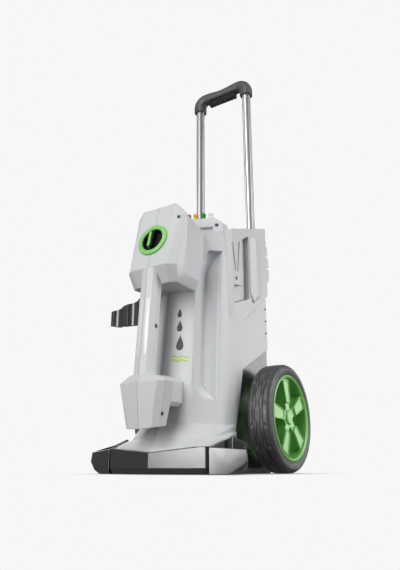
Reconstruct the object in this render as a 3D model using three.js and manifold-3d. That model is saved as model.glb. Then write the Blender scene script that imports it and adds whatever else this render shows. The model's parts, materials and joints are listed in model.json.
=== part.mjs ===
// Upright pressure washer on two wheels, in millimetres, with +Z up and +X to the machine's left-hand
// side as seen from behind. Sizes are worked out with y = 0 on the wheel axle and x = 0 on the centre
// plane; the whole machine is then moved so that its footprint is centred on the origin.
import * as THREE from 'three';
import { mergeVertices } from 'three/addons/utils/BufferGeometryUtils.js';
import { ConvexGeometry } from 'three/addons/geometries/ConvexGeometry.js';
import Module from 'manifold-3d';

const wasm = await Module();
wasm.setup();

// ---------------------------------------------------------------- driving dimensions

const FIT_GAP = 0.3;            // between pieces that touch
const RUN_GAP = 0.06;           // radial running clearance of a shaft in its bore
const SLIDE_GAP = 0.5;          // radial clearance of a telescoping tube
const WALL = 3;                 // moulded wall of the casings

const WHEEL_RADIUS = 125;
const WHEEL_WIDTH = 58;
const RIM_RADIUS = 100;
const TRACK_HALF = 190;         // centre plane to a wheel's outer face
const AXLE_RADIUS = 8;
const HUB_RADIUS = 24;
const SPOKE_COUNT = 5;
const SPOKE_START = 83;         // turn of the first spoke, in degrees

const BODY_HALF = 112;          // centre plane to the casing's flat side
const BODY_REAR = 54;
const BODY_TOP_REAR = 638;      // height of the casing's top at the handle tubes
const TOP_RISE = 0.375;         // slope of the casing's top, rising to the rear
const NOSE_AT_FLOOR = -279;     // the casing's front ridge, carried down to the floor
const NOSE_LEAN = 0.1;          // how far that ridge leans back for each unit of height
const CASING_BOTTOM = 89;       // where the casing flares out into its skirt
const SKIRT_BOTTOM = 53;

const HEAD_FRONT_LOW = -325;
const HEAD_FRONT_HIGH = -287;
const HEAD_LOW = 438;
const HEAD_HIGH = 601;
const HEAD_UNDERSIDE = 402;
const HEAD_HALF = 76;
const HEAD_FACE_HALF = 50;

const COLUMN_HALF = 22;
const COLUMN_DEPTH = 36;
const BOOT_TOP = 180;
const BOOT_BOTTOM = 86;
const BOOT_FRONT = -349;

const TRAY_HALF = 128;
const TRAY_NOSE = -304;
const TRAY_SHOULDER = -277;     // where the tray's bowed front meets its sides
const TRAY_REAR = 50;
const TRAY_WALL = 4;
const TRAY_DIP = 12;            // the tray's rim is this much lower at its nose

const TUBE_RADIUS = 12.5;
const TUBE_WALL = 1.5;
const TUBE_X = 82.4;
const TUBE_Y = 27;
const TUBE_ENGAGED = 78;        // length of tube left in its sleeve with the handle out
const HANDLE_STROKE = 420;
const GRIP_LOW = 1091;
const GRIP_HEIGHT = 59;
const GRIP_RADIUS = 18;
const SLEEVE_WALL = 2;

const KNOB_HEIGHT = 510;        // centre of the selector on the head's face
const RING_RADIUS = 40;
const DISH_RADIUS = 28.5;
const KNOB_RADIUS = 25;

const CADDY_HALF = 86;
const CADDY_TOP = BODY_TOP_REAR - 22;
const CADDY_FRONT = -176;
const CADDY_DEPTH = 52;
const NOZZLE_PITCH = 18;
const NOZZLE_LAST_X = 53;
const NOZZLE_RADIUS = 7;
const STEM_RADIUS = 5;
const NOZZLE_COLOURS = ['black', 'red', 'yellow', 'green', 'white'];

const MOTOR_Y = -78;
const MOTOR_RADIUS = 60;
const BRACKET_Z = WHEEL_RADIUS + 159;    // clears the axle below the pump
const BRACKET_THICKNESS = 6;
const MOTOR_LENGTH = 132;
const SHAFT_RADIUS = 7;
const FAN_RADIUS = 54;
const FAN_BLADES = 7;
const PUMP_RADIUS = 46;
const PUMP_LENGTH = 92;
const PUMP_HEAD_HEIGHT = 64;
const FITTING_Z = BRACKET_Z - 116;       // level with the pump head

const FAR = 500;                // reach of a tool that cuts right through

const SCREW_RADIUS = 3.2;
const SPINDLE_RADIUS = 4;
const ROTOR_RADIUS = 36;
const PISTON_RADIUS = 7;
const CAP_RADIUS = 17;
const CADDY_SCREW_X = [-74, -16, 16, 74];
const CADDY_SCREW_DROP = 22;    // below the caddy's top

// ---------------------------------------------------------------- solids

function solid(geometry) {
  geometry.deleteAttribute('normal');
  geometry.deleteAttribute('uv');
  const merged = mergeVertices(geometry, 1e-4);
  return new wasm.Manifold(new wasm.Mesh({
    numProp: 3,
    vertProperties: new Float32Array(merged.attributes.position.array),
    triVerts: new Uint32Array(merged.index.array),
  }));
}

function hull(points) {
  return solid(new ConvexGeometry(points.map(([x, y, z]) => new THREE.Vector3(x, y, z))));
}

function block([x0, x1], [y0, y1], [z0, z1]) {
  const box = new THREE.BoxGeometry(Math.abs(x1 - x0), Math.abs(y1 - y0), Math.abs(z1 - z0));
  return solid(box.translate((x0 + x1) / 2, (y0 + y1) / 2, (z0 + z1) / 2));
}

// A closed outline swept along one axis. The outline is in the two other axes, in X, Y, Z order.
function prism(axis, outline, from, to) {
  const low = Math.min(from, to);
  const depth = Math.abs(to - from);
  const shape = new THREE.Shape(outline.map(([a, b]) => new THREE.Vector2(a, b)));
  const bar = new THREE.ExtrudeGeometry(shape, { depth, bevelEnabled: false, curveSegments: 8 });
  bar.translate(0, 0, low);
  const toX = new THREE.Matrix4().set(0, 0, 1, 0, 1, 0, 0, 0, 0, 1, 0, 0, 0, 0, 0, 1);
  const toY = new THREE.Matrix4().set(1, 0, 0, 0, 0, 0, -1, 0, 0, 1, 0, 0, 0, 0, 0, 1);
  if (axis === 'x') bar.applyMatrix4(toX);
  if (axis === 'y') bar.applyMatrix4(toY).translate(0, 2 * low + depth, 0);
  return solid(bar);
}

// A round bar along one axis, from one coordinate to the other.
function rod(axis, radius, from, to, centre, segments = 24) {
  const bar = new THREE.CylinderGeometry(radius, radius, Math.abs(to - from), segments);
  const middle = (from + to) / 2;
  if (axis === 'x') bar.rotateZ(Math.PI / 2).translate(middle, centre[0], centre[1]);
  if (axis === 'y') bar.translate(centre[0], middle, centre[1]);
  if (axis === 'z') bar.rotateX(Math.PI / 2).translate(centre[0], centre[1], middle);
  return solid(bar);
}

// A profile of (radius, height) points turned about Z, then laid along the given axis.
function turned(axis, profile, centre, segments = 48) {
  const points = profile.map(([r, h]) => new THREE.Vector2(r, h));
  const spun = new THREE.LatheGeometry(points, segments);
  if (axis === 'x') spun.rotateZ(-Math.PI / 2);
  if (axis === 'z') spun.rotateX(Math.PI / 2);
  spun.translate(...centre);
  return solid(spun);
}

function join(...pieces) {
  return pieces.reduce((whole, piece) => whole.add(piece));
}

function cut(whole, ...tools) {
  return tools.reduce((rest, tool) => rest.subtract(tool), whole);
}

function move(piece, x, y, z) {
  return piece.translate([x, y, z]);
}

// ---------------------------------------------------------------- the machine

const machine = new THREE.Group();

const PAINT = {
  casing: ['#c9cacc', 0.45, 0],
  anthracite: ['#3a3b3d', 0.5, 0],
  green: ['#62c64a', 0.4, 0],
  black: ['#1b1c1d', 0.4, 0],
  grip: ['#4a4b4c', 0.6, 0],
  steel: ['#b9babb', 0.3, 1],
  zinc: ['#9ea1a3', 0.4, 1],
  brass: ['#b9934a', 0.35, 1],
  tyre: ['#2a2a2b', 0.85, 0],
  red: ['#b3261e', 0.4, 0],
  yellow: ['#d9b92c', 0.4, 0],
  nozzleGreen: ['#1f8a3c', 0.4, 0],
  white: ['#e6e6e6', 0.4, 0],
};

function add(name, piece, paint) {
  const mesh = piece.getMesh();
  const geometry = new THREE.BufferGeometry();
  geometry.setAttribute('position', new THREE.BufferAttribute(mesh.vertProperties, 3));
  geometry.setIndex(new THREE.BufferAttribute(mesh.triVerts, 1));
  geometry.computeVertexNormals();
  const [color, roughness, metalness] = PAINT[paint];
  const part = new THREE.Mesh(geometry, new THREE.MeshStandardMaterial({ color, roughness, metalness }));
  part.name = name;
  machine.add(part);
}

const SIDES = [['left', 1], ['right', -1]];

// ---------------------------------------------------------------- casing

const noseAt = (z) => NOSE_AT_FLOOR + NOSE_LEAN * z;
const topAt = (y) => BODY_TOP_REAR - TOP_RISE * (TUBE_Y - y);

// Corners of the casing's front quarter: across from the ridge, and back from it.
const LOGO_EDGE = [63, 25];
const CHEEK = [[80, 52], [94, 79], [101, 99]];
const SIDE_START = -128;
const REAR_CHAMFER = 8;
const TAPER = 0.00035;           // narrowing of the front corners for each unit of height

// Half outline of the casing at one height, drawn in by an inset, as [x, y] from ridge to rear.
function casingOutline(z, inset = 0) {
  const nose = noseAt(z) + inset;
  const narrow = 1 - TAPER * (z - CASING_BOTTOM);
  const front = [[0, 0], LOGO_EDGE, ...CHEEK];
  const outline = front.map(([x, y]) => [Math.max(x * narrow - inset * 0.8, 0), nose + y + inset * 0.3]);
  outline[0][1] = nose;
  outline.push([BODY_HALF - inset, SIDE_START + inset * 0.4]);
  outline.push([BODY_HALF - inset, BODY_REAR - REAR_CHAMFER]);
  outline.push([BODY_HALF - REAR_CHAMFER - inset * 0.4, BODY_REAR - inset]);
  outline.push([0, BODY_REAR - inset]);
  return outline;
}

const ring = (outline, side, z) => outline.map(([x, y]) => [side * x, y, z]);

// Everything above the casing's sloped top, lowered by a drop.
function slopeCutter(drop) {
  const high = topAt(FAR) + FAR;
  const outline = [[-FAR, topAt(-FAR) - drop], [FAR, topAt(FAR) - drop], [FAR, high], [-FAR, high]];
  return prism('x', outline, -FAR, FAR);
}

const CASING_HULL_TOP = BODY_TOP_REAR + 42;

function casingBlank(side, inset) {
  const low = CASING_BOTTOM;
  const drop = inset * Math.hypot(1, TOP_RISE);
  const outlines = [ring(casingOutline(low, inset), side, low)];
  outlines.push(ring(casingOutline(CASING_HULL_TOP, inset), side, CASING_HULL_TOP));
  return cut(hull(outlines.flat()), slopeCutter(drop));
}

// The flared skirt spreads to the tray's corners. Its edge dips at the nose and climbs to the rear.
const SKIRT_TOP = 102;
const SKIRT_WAIST = 70;
const SKIRT_REAR = 86;           // height of the skirt's edge where it meets the chassis
const SKIRT_SETBACK = 4;         // between the tray's outside and the skirt's

function skirt(side, inset) {
  const edge = TRAY_HALF - SKIRT_SETBACK - inset;
  const nose = TRAY_NOSE + SKIRT_SETBACK + inset;
  const flank = BODY_HALF - inset;
  const low = SKIRT_BOTTOM + FIT_GAP;
  const dip = low - TRAY_DIP;
  const top = casingOutline(SKIRT_TOP, inset).slice(0, 5).map(([x, y]) => [x, y, SKIRT_TOP]);
  top.push([flank, CHASSIS_FRONT, SKIRT_TOP], [0, CHASSIS_FRONT, SKIRT_TOP]);
  const waist = [
    [0, nose + 16, SKIRT_WAIST], [70, nose + 34, SKIRT_WAIST], [flank - 4, nose + 76, SKIRT_WAIST + 4],
    [flank, CHASSIS_FRONT, SKIRT_REAR + 3], [0, CHASSIS_FRONT, SKIRT_WAIST],
  ];
  const rim = [
    [0, nose, dip], [0, nose, dip + 8],
    [edge - 9, TRAY_SHOULDER + 3 + inset, low], [edge, TRAY_SHOULDER + 13 + inset, low],
    [flank + 2, CHASSIS_FRONT, SKIRT_REAR], [flank, CHASSIS_FRONT, low], [0, CHASSIS_FRONT, low],
  ];
  const place = (points) => hull(points.map(([x, y, z]) => [side * x, y, z]));
  return join(place([...top, ...waist]), place([...waist, ...rim]));
}

// The rear of the casing is cut away over each wheel, where the chassis shows.
const CHASSIS_FRONT = -134;
const ARCH = [[CHASSIS_FRONT, 86], [-112, 160], [-94, 231], [42, 302], [BODY_REAR, 312]];

function archCutter(grow) {
  const [start, ...rest] = ARCH;
  const behind = BODY_REAR + 40;
  const outline = [[start[0], 0], start, ...rest, [behind, rest.at(-1)[1] + 20], [behind, 0]];
  const wide = BODY_HALF + 20;
  return prism('x', outline.map(([y, z]) => [y - grow, z + grow]), -wide, wide);
}

// The bowed notch along each cheek: a steep inner wall, a shallow floor and slanted ends.
const NOTCH = { low: 182, high: 453, peak: 512, foot: 154, depth: 15 };
const CHEEK_NORMAL = [0.86, 0.5];    // outward direction of the cheek, across and forward

// Growing the notch gives the shape of the moulded wall behind it; a negative value shrinks it.
function cheekNotch(side, grow = 0) {
  const at = (z, [x, y], out, along) => {
    const narrow = 1 - TAPER * (z - CASING_BOTTOM);
    const shiftX = out * CHEEK_NORMAL[0] + along * CHEEK_NORMAL[1];
    const shiftY = along * CHEEK_NORMAL[0] - out * CHEEK_NORMAL[1];
    return [side * (x * narrow + shiftX), noseAt(z) + y + shiftY, z];
  };
  const middle = [78, 50];
  const deepest = [79, 55];
  const outside = 26;
  const low = NOTCH.low - grow;
  const high = NOTCH.high + grow;
  const rim = [
    [low, LOGO_EDGE, -grow], [high, LOGO_EDGE, -grow], [NOTCH.peak + grow, middle, 0],
    [NOTCH.peak + grow, CHEEK[1], grow], [NOTCH.foot - grow, CHEEK[1], grow], [NOTCH.foot - grow, middle, 0],
  ];
  const trough = [low + 8, high].map((z) => at(z, deepest, -NOTCH.depth - grow, 0));
  const spread = ([z, corner, along]) => [at(z, corner, 0, along), at(z, corner, outside, along)];
  return hull([...trough, ...rim.flatMap(spread)]);
}

// Head, hand column and boot stand in front of the casing and leave a gap for the hand.
function headBlank(side, inset) {
  const low = HEAD_LOW + inset;
  const under = HEAD_UNDERSIDE + inset;
  const high = HEAD_HIGH - inset;
  const wide = HEAD_HALF - inset;
  const face = HEAD_FACE_HALF - inset * 0.6;
  const front = HEAD_FRONT_LOW + inset;
  const crown = HEAD_FRONT_HIGH + inset;
  const rear = noseAt(HEAD_LOW) + 45;
  const back = rear + 12;
  const roof = topAt(back) - 4 - inset;
  const points = [
    [0, front, low], [face, front, low], [wide - 8, front + 17, low], [wide, front + 41, low],
    [0, front + 23, under], [face - 6, front + 22, under], [wide - 16, front + 30, under],
    [wide - 4, front + 46, under + 22], [wide - 10, rear, under + 18],
    [wide - 22, rear, under], [0, rear, under],
    [0, crown, high], [face - 2, crown, high], [face + 14, crown + 5, high - 16],
    [wide - 3, crown + 12, high - 35], [wide - 14, back, roof], [0, back, roof],
  ];
  return hull(points.map(([x, y, z]) => [side * x, y, z]));
}

const COLUMN_FOOT = BOOT_FRONT + 4;
const COLUMN_LEAN = (HEAD_FRONT_LOW - 1 - COLUMN_FOOT) / (HEAD_LOW - BOOT_TOP);
const columnFrontAt = (z) => COLUMN_FOOT + COLUMN_LEAN * (z - BOOT_TOP);

function columnBlank(side) {
  const section = [[0, 0], [15, 3], [COLUMN_HALF - 1, 9], [COLUMN_HALF, 14]];
  section.push([COLUMN_HALF, COLUMN_DEPTH - 8], [COLUMN_HALF - 6, COLUMN_DEPTH], [0, COLUMN_DEPTH]);
  const levels = [BOOT_TOP - 10, HEAD_LOW];
  return hull(levels.flatMap((z) => section.map(([x, y]) => [side * x, columnFrontAt(z) + y, z])));
}

function bootBlank(side, inset) {
  const front = BOOT_FRONT + inset;
  const points = [
    [0, front, BOOT_TOP - inset], [48 - inset, front + 5, BOOT_TOP - inset],
    [60 - inset, front + 18, BOOT_TOP + 2 - inset], [58 - inset, front + 52, BOOT_TOP + 2 - inset],
    [0, front + 5, BOOT_TOP + 17 - inset], [23, front + 8, BOOT_TOP + 16 - inset],
    [46 - inset, front + 24, BOOT_TOP + 12 - inset], [44, front + 50, BOOT_TOP + 14 - inset],
    [0, front + 50, BOOT_TOP + 15 - inset],
    [0, front + 10, BOOT_BOTTOM + inset], [30 - inset, front + 13, BOOT_BOTTOM + 2 + inset],
    [42 - inset, front + 24, BOOT_BOTTOM + 4 + inset], [40 - inset, front + 50, BOOT_BOTTOM + 8 + inset],
    [0, front + 52, BOOT_BOTTOM + 6 + inset],
  ];
  return hull(points.map(([x, y, z]) => [side * x, y, z]));
}

const BRIDGE = { half: 44, low: 136, high: 196 };

function bridge(side, inset, rear) {
  const front = BOOT_FRONT + 40;
  const half = BRIDGE.half - inset;
  const low = BRIDGE.low + inset;
  const high = BRIDGE.high - inset;
  const profile = [[0, low], [half - 8, low], [half, low + 8], [half, high - 8], [half - 8, high], [0, high]];
  return prism('y', profile.map(([x, z]) => [side * x, z]), front, rear);
}

// Upper side pod with a stepped recess. Its lower edge runs parallel to the casing's top.
const POD = { half: 118, front: -148, rear: 46, low: 374, rise: 0.39, foot: 328 };
const podLowAt = (y) => POD.low + POD.rise * (y - POD.front);

function podBlank(side, inset) {
  const half = POD.half - inset;
  const edge = BODY_HALF - 10;
  const flat = BODY_HALF - 1 - inset;
  const drop = inset * 1.2;
  const above = topAt(POD.rear) + 20;
  const points = [
    [half, POD.front + 4 + inset, podLowAt(POD.front) + drop],
    [half, POD.front + 4 + inset, above],
    [half, POD.rear - inset, podLowAt(POD.rear) + drop], [half, POD.rear - inset, above],
    [edge, POD.front - 6 + inset, podLowAt(POD.front) + drop], [edge, POD.front - 6 + inset, above],
    [edge, POD.front + inset, POD.foot - 4 + drop], [flat, POD.front + 28, POD.foot + drop],
    [flat, POD.rear - 20 - inset, podLowAt(POD.rear) - 12 + drop],
    [edge, POD.rear + 6 - inset, podLowAt(POD.rear) - 8 + drop], [edge, POD.rear + 6 - inset, above],
  ];
  return cut(hull(points.map(([x, y, z]) => [side * x, y, z])), slopeCutter(drop));
}

const RECESS = { depth: 13, front: -139, rear: -60, step: -98, stepZ: 438, low: 6, top: 22 };

function recessOutline(inset) {
  const front = RECESS.front + inset;
  const rear = RECESS.rear - inset;
  return [
    [front, podLowAt(front) + RECESS.low], [rear, podLowAt(rear) + RECESS.low],
    [rear, topAt(rear) - RECESS.top], [RECESS.step + inset, topAt(RECESS.step) - RECESS.top - 10],
    [RECESS.step + inset, RECESS.stepZ - inset], [front, RECESS.stepZ - 8 - inset],
  ];
}

function recess(side) {
  return prism('x', recessOutline(0), side * (POD.half - RECESS.depth), side * (POD.half + 10));
}

// Two converging grooves and a screw pocket in front of the recess.
function tongueGrooves(side) {
  const x = [side * (POD.half - WALL + 1), side * (POD.half + 10)];
  const top = 536;
  const tip = 468;
  const front = [[-146, top], [-140, top], [-128, tip], [-132, tip]];
  const rear = [[-112, top + 14], [-106, top + 16], [-118, tip], [-122, tip]];
  return join(prism('x', front, ...x), prism('x', rear, ...x));
}

const POD_SCREW = [-127, 449];
const HEAD_SCREW = [-289, 562];
const COLUMN_SCREW = [columnFrontAt(302) + 19, 302];
const BOOT_SCREW = [-322, 116];
const SCREW_POCKET = 4.6;

// Pockets for the screws that hold the two halves together. Growing one leaves a boss around it.
function screwPockets(side, grow = 0) {
  const pocket = (x, [y, z], deep) => {
    return rod('x', SCREW_POCKET + grow, side * (x - deep - grow), side * (x + 12), [y, z], 20);
  };
  const pockets = [pocket(POD.half, POD_SCREW, 6)];
  if (side > 0) {
    pockets.push(pocket(HEAD_HALF - 10, HEAD_SCREW, 10));
    pockets.push(pocket(COLUMN_HALF, COLUMN_SCREW, 5));
    pockets.push(pocket(50, BOOT_SCREW, 6));
  }
  return pockets;
}

// Small triangular notches up the casing's rear corner, under the vent cowl.
const NOTCH_ROW = { first: 338, pitch: 33, count: 4, size: 11 };

function rearNotches(side) {
  const notches = [];
  for (let i = 0; i < NOTCH_ROW.count; i += 1) {
    const z = NOTCH_ROW.first + i * NOTCH_ROW.pitch;
    const y = BODY_REAR - 6;
    const size = NOTCH_ROW.size;
    const outline = [[y - size, z], [y + 10, z + size * 0.4], [y - size, z + size]];
    notches.push(prism('x', outline, side * (BODY_HALF - 9), side * (BODY_HALF + 9)));
  }
  return notches;
}

const COWL = { half: 105, low: 478, high: BODY_TOP_REAR + 4, belly: 538, depth: 44, louvres: 3 };

// Bores in the sloped top for the handle tubes' collars.
const SLEEVE_RADIUS = TUBE_RADIUS + SLIDE_GAP + SLEEVE_WALL;
const COLLAR_RADIUS = SLEEVE_RADIUS + 3.5;
const COLLAR_LOW = BODY_TOP_REAR - 18;

function casingHalf(side) {
  const outer = join(
    casingBlank(side, 0), skirt(side, 0), headBlank(side, 0), columnBlank(side), bootBlank(side, 0),
    bridge(side, 0, noseAt(BRIDGE.low) + 30), podBlank(side, 0),
  );
  const recessBack = prism('x', recessOutline(-WALL), side * (POD.half - RECESS.depth - WALL), side * FAR);
  const room = join(
    casingBlank(side, WALL), skirt(side, WALL), headBlank(side, WALL), podBlank(side, WALL),
  );
  const cavity = cut(room, cheekNotch(side, WALL), recessBack, ...screwPockets(side, WALL));
  const bootRoom = join(bootBlank(side, WALL), bridge(side, WALL, noseAt(BRIDGE.low) + 20));
  const bootHollow = cut(bootRoom, ...screwPockets(side, WALL));
  const seam = block([side * FIT_GAP / 2, side * -FAR], [-FAR, FAR], [0, 2 * FAR]);
  const ventHole = block([20 - COWL.half, COWL.half - 20], [BODY_REAR - 10, BODY_REAR + 10], [500, 600]);
  const collarSeat = [side * TUBE_X, TUBE_Y];
  const collarBore = rod('z', COLLAR_RADIUS + FIT_GAP, COLLAR_LOW - 60, BODY_TOP_REAR + 80, collarSeat);
  return cut(
    outer, cavity, bootHollow, cheekNotch(side), recess(side), tongueGrooves(side), archCutter(FIT_GAP),
    ...screwPockets(side), ventHole, collarBore,
    dishBore(RING_RADIUS - 5), ...rearNotches(side), seam,
  );
}

// The selector's axis is square to the head's front face.
const FACE_TILT = Math.atan2(HEAD_FRONT_HIGH - HEAD_FRONT_LOW, HEAD_HIGH - HEAD_LOW);
const faceYAt = (z) => HEAD_FRONT_LOW + Math.tan(FACE_TILT) * (z - HEAD_LOW);
const KNOB_CENTRE = [0, faceYAt(KNOB_HEIGHT), KNOB_HEIGHT];

// Lays a piece made about +Z, with z = 0 on the face, onto the head's front face.
function onFace(piece) {
  const tilt = THREE.MathUtils.radToDeg(Math.PI / 2 - FACE_TILT);
  return move(piece.rotate([tilt, 0, 0]), ...KNOB_CENTRE);
}

function dishBore(radius) {
  return onFace(rod('z', radius, -14, 20, [0, 0], 40));
}

for (const [name, side] of SIDES) add(`casing_${name}`, casingHalf(side), 'casing');

// ---------------------------------------------------------------- selector on the head

function addSelector() {
  const seat = DISH_RADIUS - FIT_GAP;
  add('selector_ring', onFace(turned('z', [
    [DISH_RADIUS, FIT_GAP], [RING_RADIUS - 1, FIT_GAP], [RING_RADIUS, 1.5], [RING_RADIUS - 1.5, 5],
    [DISH_RADIUS + 1.5, 5], [DISH_RADIUS, 3.5], [DISH_RADIUS, FIT_GAP],
  ], [0, 0, 0], 40)), 'green');
  const dish = turned('z', [
    [0, -12], [seat, -12], [seat, 3], [seat - 2.4, 3], [seat - 4, -9], [0, -9],
  ], [0, 0, 0], 40);
  add('selector_dish', onFace(cut(dish, rod('z', SPINDLE_RADIUS + RUN_GAP, -20, 0, [0, 0], 24))), 'black');
  const base = -9 + FIT_GAP + 0.1;
  const bothEnds = (end) => ([x, z]) => [[x, end, z], [x, -end, z]];
  const bar = hull([
    ...[[-6.5, base], [6.5, base], [-5, 9], [5, 9]].flatMap(bothEnds(KNOB_RADIUS - 5)),
    ...bothEnds(KNOB_RADIUS - 3)([0, base]), ...bothEnds(KNOB_RADIUS - 6)([0, 8]),
  ]);
  const disc = rod('z', KNOB_RADIUS - 2.5, base, -5, [0, 0], 36);
  const spindle = rod('z', SPINDLE_RADIUS, -26, base + 0.6, [0, 0], 24);
  const slot = block([-9, -3.2], [4 - KNOB_RADIUS, KNOB_RADIUS - 4], [-4.6, 10]);
  add('selector_knob', onFace(cut(join(bar, disc, spindle), slot)), 'black');
  const flank = [[-6, -4.3], [-3.5, -4.3], [-5, 8.6], [-3.5, 8.6]];
  add('selector_pointer', onFace(hull(flank.flatMap(bothEnds(KNOB_RADIUS - 5.6)))), 'green');
  const bore = rod('z', SPINDLE_RADIUS + RUN_GAP, -28, 0, [0, 0], 24);
  const body = cut(block([-20, 20], [-20, 20], [-48, -12 - FIT_GAP]), bore);
  add('selector_switch', onFace(body), 'anthracite');
}

addSelector();

// ---------------------------------------------------------------- tray, lance sockets and chassis

const TRAY_FLOOR = 5;

function trayRing(inset, z, dip = 0) {
  const half = TRAY_HALF - inset;
  const front = [
    [0, TRAY_NOSE + inset], [half - 6, TRAY_SHOULDER - 2 + inset], [half, TRAY_SHOULDER + 6 + inset],
  ];
  const waist = BODY_HALF - inset;
  const rear = [[half, -186], [waist, CHASSIS_FRONT], [waist, TRAY_REAR - inset], [0, TRAY_REAR - inset]];
  return [...front, ...rear].flatMap(([x, y], i) => {
    const top = i === 0 ? z - dip : z;
    return x ? [[x, y, top], [-x, y, top]] : [[x, y, top]];
  });
}

function addTray() {
  const rim = SKIRT_BOTTOM;
  const outer = join(
    hull([...trayRing(5, 0), ...trayRing(0, 12)]),
    hull([...trayRing(0, 12), ...trayRing(0, rim, TRAY_DIP)]),
  );
  const hollow = hull([...trayRing(TRAY_WALL, TRAY_FLOOR), ...trayRing(TRAY_WALL, rim + 20)]);
  add('base_tray', cut(outer, hollow), 'anthracite');
}

addTray();

const SOCKET = { outer: 203, front: -266, rear: -200, wall: 4, floor: 6, cup: 13, cupWall: 3, cupTop: 40 };

function lanceSocket(side) {
  const inner = TRAY_HALF + FIT_GAP;
  const plan = (inset, ends) => [
    [inner + inset, TRAY_SHOULDER + inset], [SOCKET.outer - 38, SOCKET.front + inset],
    [SOCKET.outer - inset * 1.4 - ends, SOCKET.front + 12 + inset * 0.6],
    [SOCKET.outer - 28 - inset, SOCKET.rear - 6 - inset],
    [inner + 12 + inset * 0.3, SOCKET.rear - inset], [inner + inset, SOCKET.rear - 5 - inset],
  ];
  const bottoms = [0, 0, 8, 8, 4, 0];
  const tops = [51, 34, 46, 62, 76, 68];
  const base = plan(0, 12).map(([x, y], i) => [side * x, y, bottoms[i]]);
  const belly = plan(0, 0).map(([x, y], i) => [side * x, y, bottoms[i] + 18]);
  const rim = plan(0, 3).map(([x, y], i) => [side * x, y, tops[i]]);
  const levels = ([x, y]) => [[side * x, y, SOCKET.floor + 8], [side * x, y, 90]];
  const hollow = plan(SOCKET.wall, 4).flatMap(levels);
  const centre = [side * 160, -236];
  const cup = rod('z', SOCKET.cup, SOCKET.floor + 4, SOCKET.cupTop, centre, 28);
  const cupInside = SOCKET.cup - SOCKET.cupWall;
  const cupHollow = rod('z', cupInside, SOCKET.floor + 10, SOCKET.cupTop + 5, centre, 28);
  const shell = cut(hull([...base, ...belly, ...rim]), hull(hollow));
  return cut(join(shell, cup), cupHollow);
}

for (const [name, side] of SIDES) add(`lance_socket_${name}`, lanceSocket(side), 'anthracite');

const CHASSIS_HALF = 106;
const CHASSIS_WALL = 4;
const CHASSIS_INSET = 4;         // of the chassis's rear panel behind the casing's
const AXLE_Z = WHEEL_RADIUS;
const BOSS_RADIUS = 18;
const WHEEL_INNER = TRACK_HALF - WHEEL_WIDTH;
const FITTING_X = 28;
const FITTING_RADIUS = 11;
const GLAND = [0, FITTING_Z + 58];
const GLAND_RADIUS = 9;

function addChassis() {
  const low = SKIRT_BOTTOM + FIT_GAP;
  const outline = [[CHASSIS_FRONT, low], ...ARCH, [BODY_REAR, low]];
  const rear = BODY_REAR - CHASSIS_INSET;
  const inside = [[-FAR, 0], [rear - CHASSIS_WALL, 0], [rear - CHASSIS_WALL, FAR], [-FAR, FAR]];
  const behind = [[rear, 0], [rear + FAR, 0], [rear + FAR, FAR], [rear, FAR]];
  const shell = cut(
    prism('x', outline, -CHASSIS_HALF, CHASSIS_HALF),
    prism('x', behind, -CHASSIS_HALF - 1, CHASSIS_HALF + 1),
    prism('x', inside, CHASSIS_WALL - CHASSIS_HALF, CHASSIS_HALF - CHASSIS_WALL),
  );
  const boss = (s) => rod('x', BOSS_RADIUS, s * (CHASSIS_HALF - 7), s * (WHEEL_INNER - 2), [0, AXLE_Z], 28);
  const fittingHole = (s) => rod('y', FITTING_RADIUS + FIT_GAP, 0, FAR, [s * FITTING_X, FITTING_Z], 28);
  const bosses = [-1, 1].map(boss);
  const holes = [-1, 1].map(fittingHole);
  holes.push(rod('y', GLAND_RADIUS + FIT_GAP, 0, FAR, GLAND, 28));
  holes.push(rod('x', AXLE_RADIUS + FIT_GAP, -FAR, FAR, [0, AXLE_Z], 28));
  add('chassis', cut(join(shell, ...bosses), ...holes), 'anthracite');
}

addChassis();

// ---------------------------------------------------------------- axle and wheels

add('axle', rod('x', AXLE_RADIUS, 15 - TRACK_HALF, TRACK_HALF - 15, [0, AXLE_Z], 32), 'zinc');

function wheelRim(side) {
  const face = TRACK_HALF - 4;
  const back = WHEEL_INNER + 4;
  const outer = RIM_RADIUS - FIT_GAP;
  const at = [0, 0, AXLE_Z];
  const hoop = turned('x', [
    [outer - 8, back], [outer, back], [outer, face + 2], [outer - 3, face + 4], [outer - 7, face + 1],
    [outer - 8, back],
  ], [0, 0, 0], 48);
  const hub = rod('x', HUB_RADIUS, back, face - 6, [0, 0], 36);
  const spokes = [];
  for (let i = 0; i < SPOKE_COUNT; i += 1) {
    const spoke = hull([[9, 14], [15, outer - 4]].flatMap(([half, r]) => [
      [back + 20, half + 3, r], [back + 20, -half - 3, r], [face - 5, half, r], [face - 5, -half, r],
    ]));
    const pad = hull([[4, 34], [8, outer - 18]].flatMap(([half, r]) => [
      [face - 6.5, half, r], [face - 6.5, -half, r], [face, half + 1, r], [face, -half - 1, r],
    ]));
    spokes.push(cut(spoke, pad).rotate([SPOKE_START + i * 360 / SPOKE_COUNT, 0, 0]));
  }
  const bore = rod('x', AXLE_RADIUS + RUN_GAP, 0, 300, [0, 0], 32);
  const capSeat = rod('x', CAP_RADIUS + FIT_GAP, face - 12, face + 20, [0, 0], 32);
  const rim = move(cut(join(hoop, hub, ...spokes), bore, capSeat), ...at);
  return side > 0 ? rim : rim.rotate([0, 0, 180]);
}

function tyre(side) {
  const inner = RIM_RADIUS;
  const outer = WHEEL_RADIUS;
  const a = WHEEL_INNER;
  const b = TRACK_HALF;
  const piece = turned('x', [
    [inner, a + 4], [inner + 6, a + 1], [outer - 14, a], [outer - 5, a + 3], [outer, a + 11],
    [outer, b - 11], [outer - 5, b - 3], [outer - 14, b], [inner + 6, b - 1], [inner, b - 4], [inner, a + 4],
  ], [0, 0, AXLE_Z], 48);
  return side > 0 ? piece : piece.rotate([0, 0, 180]);
}

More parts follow.
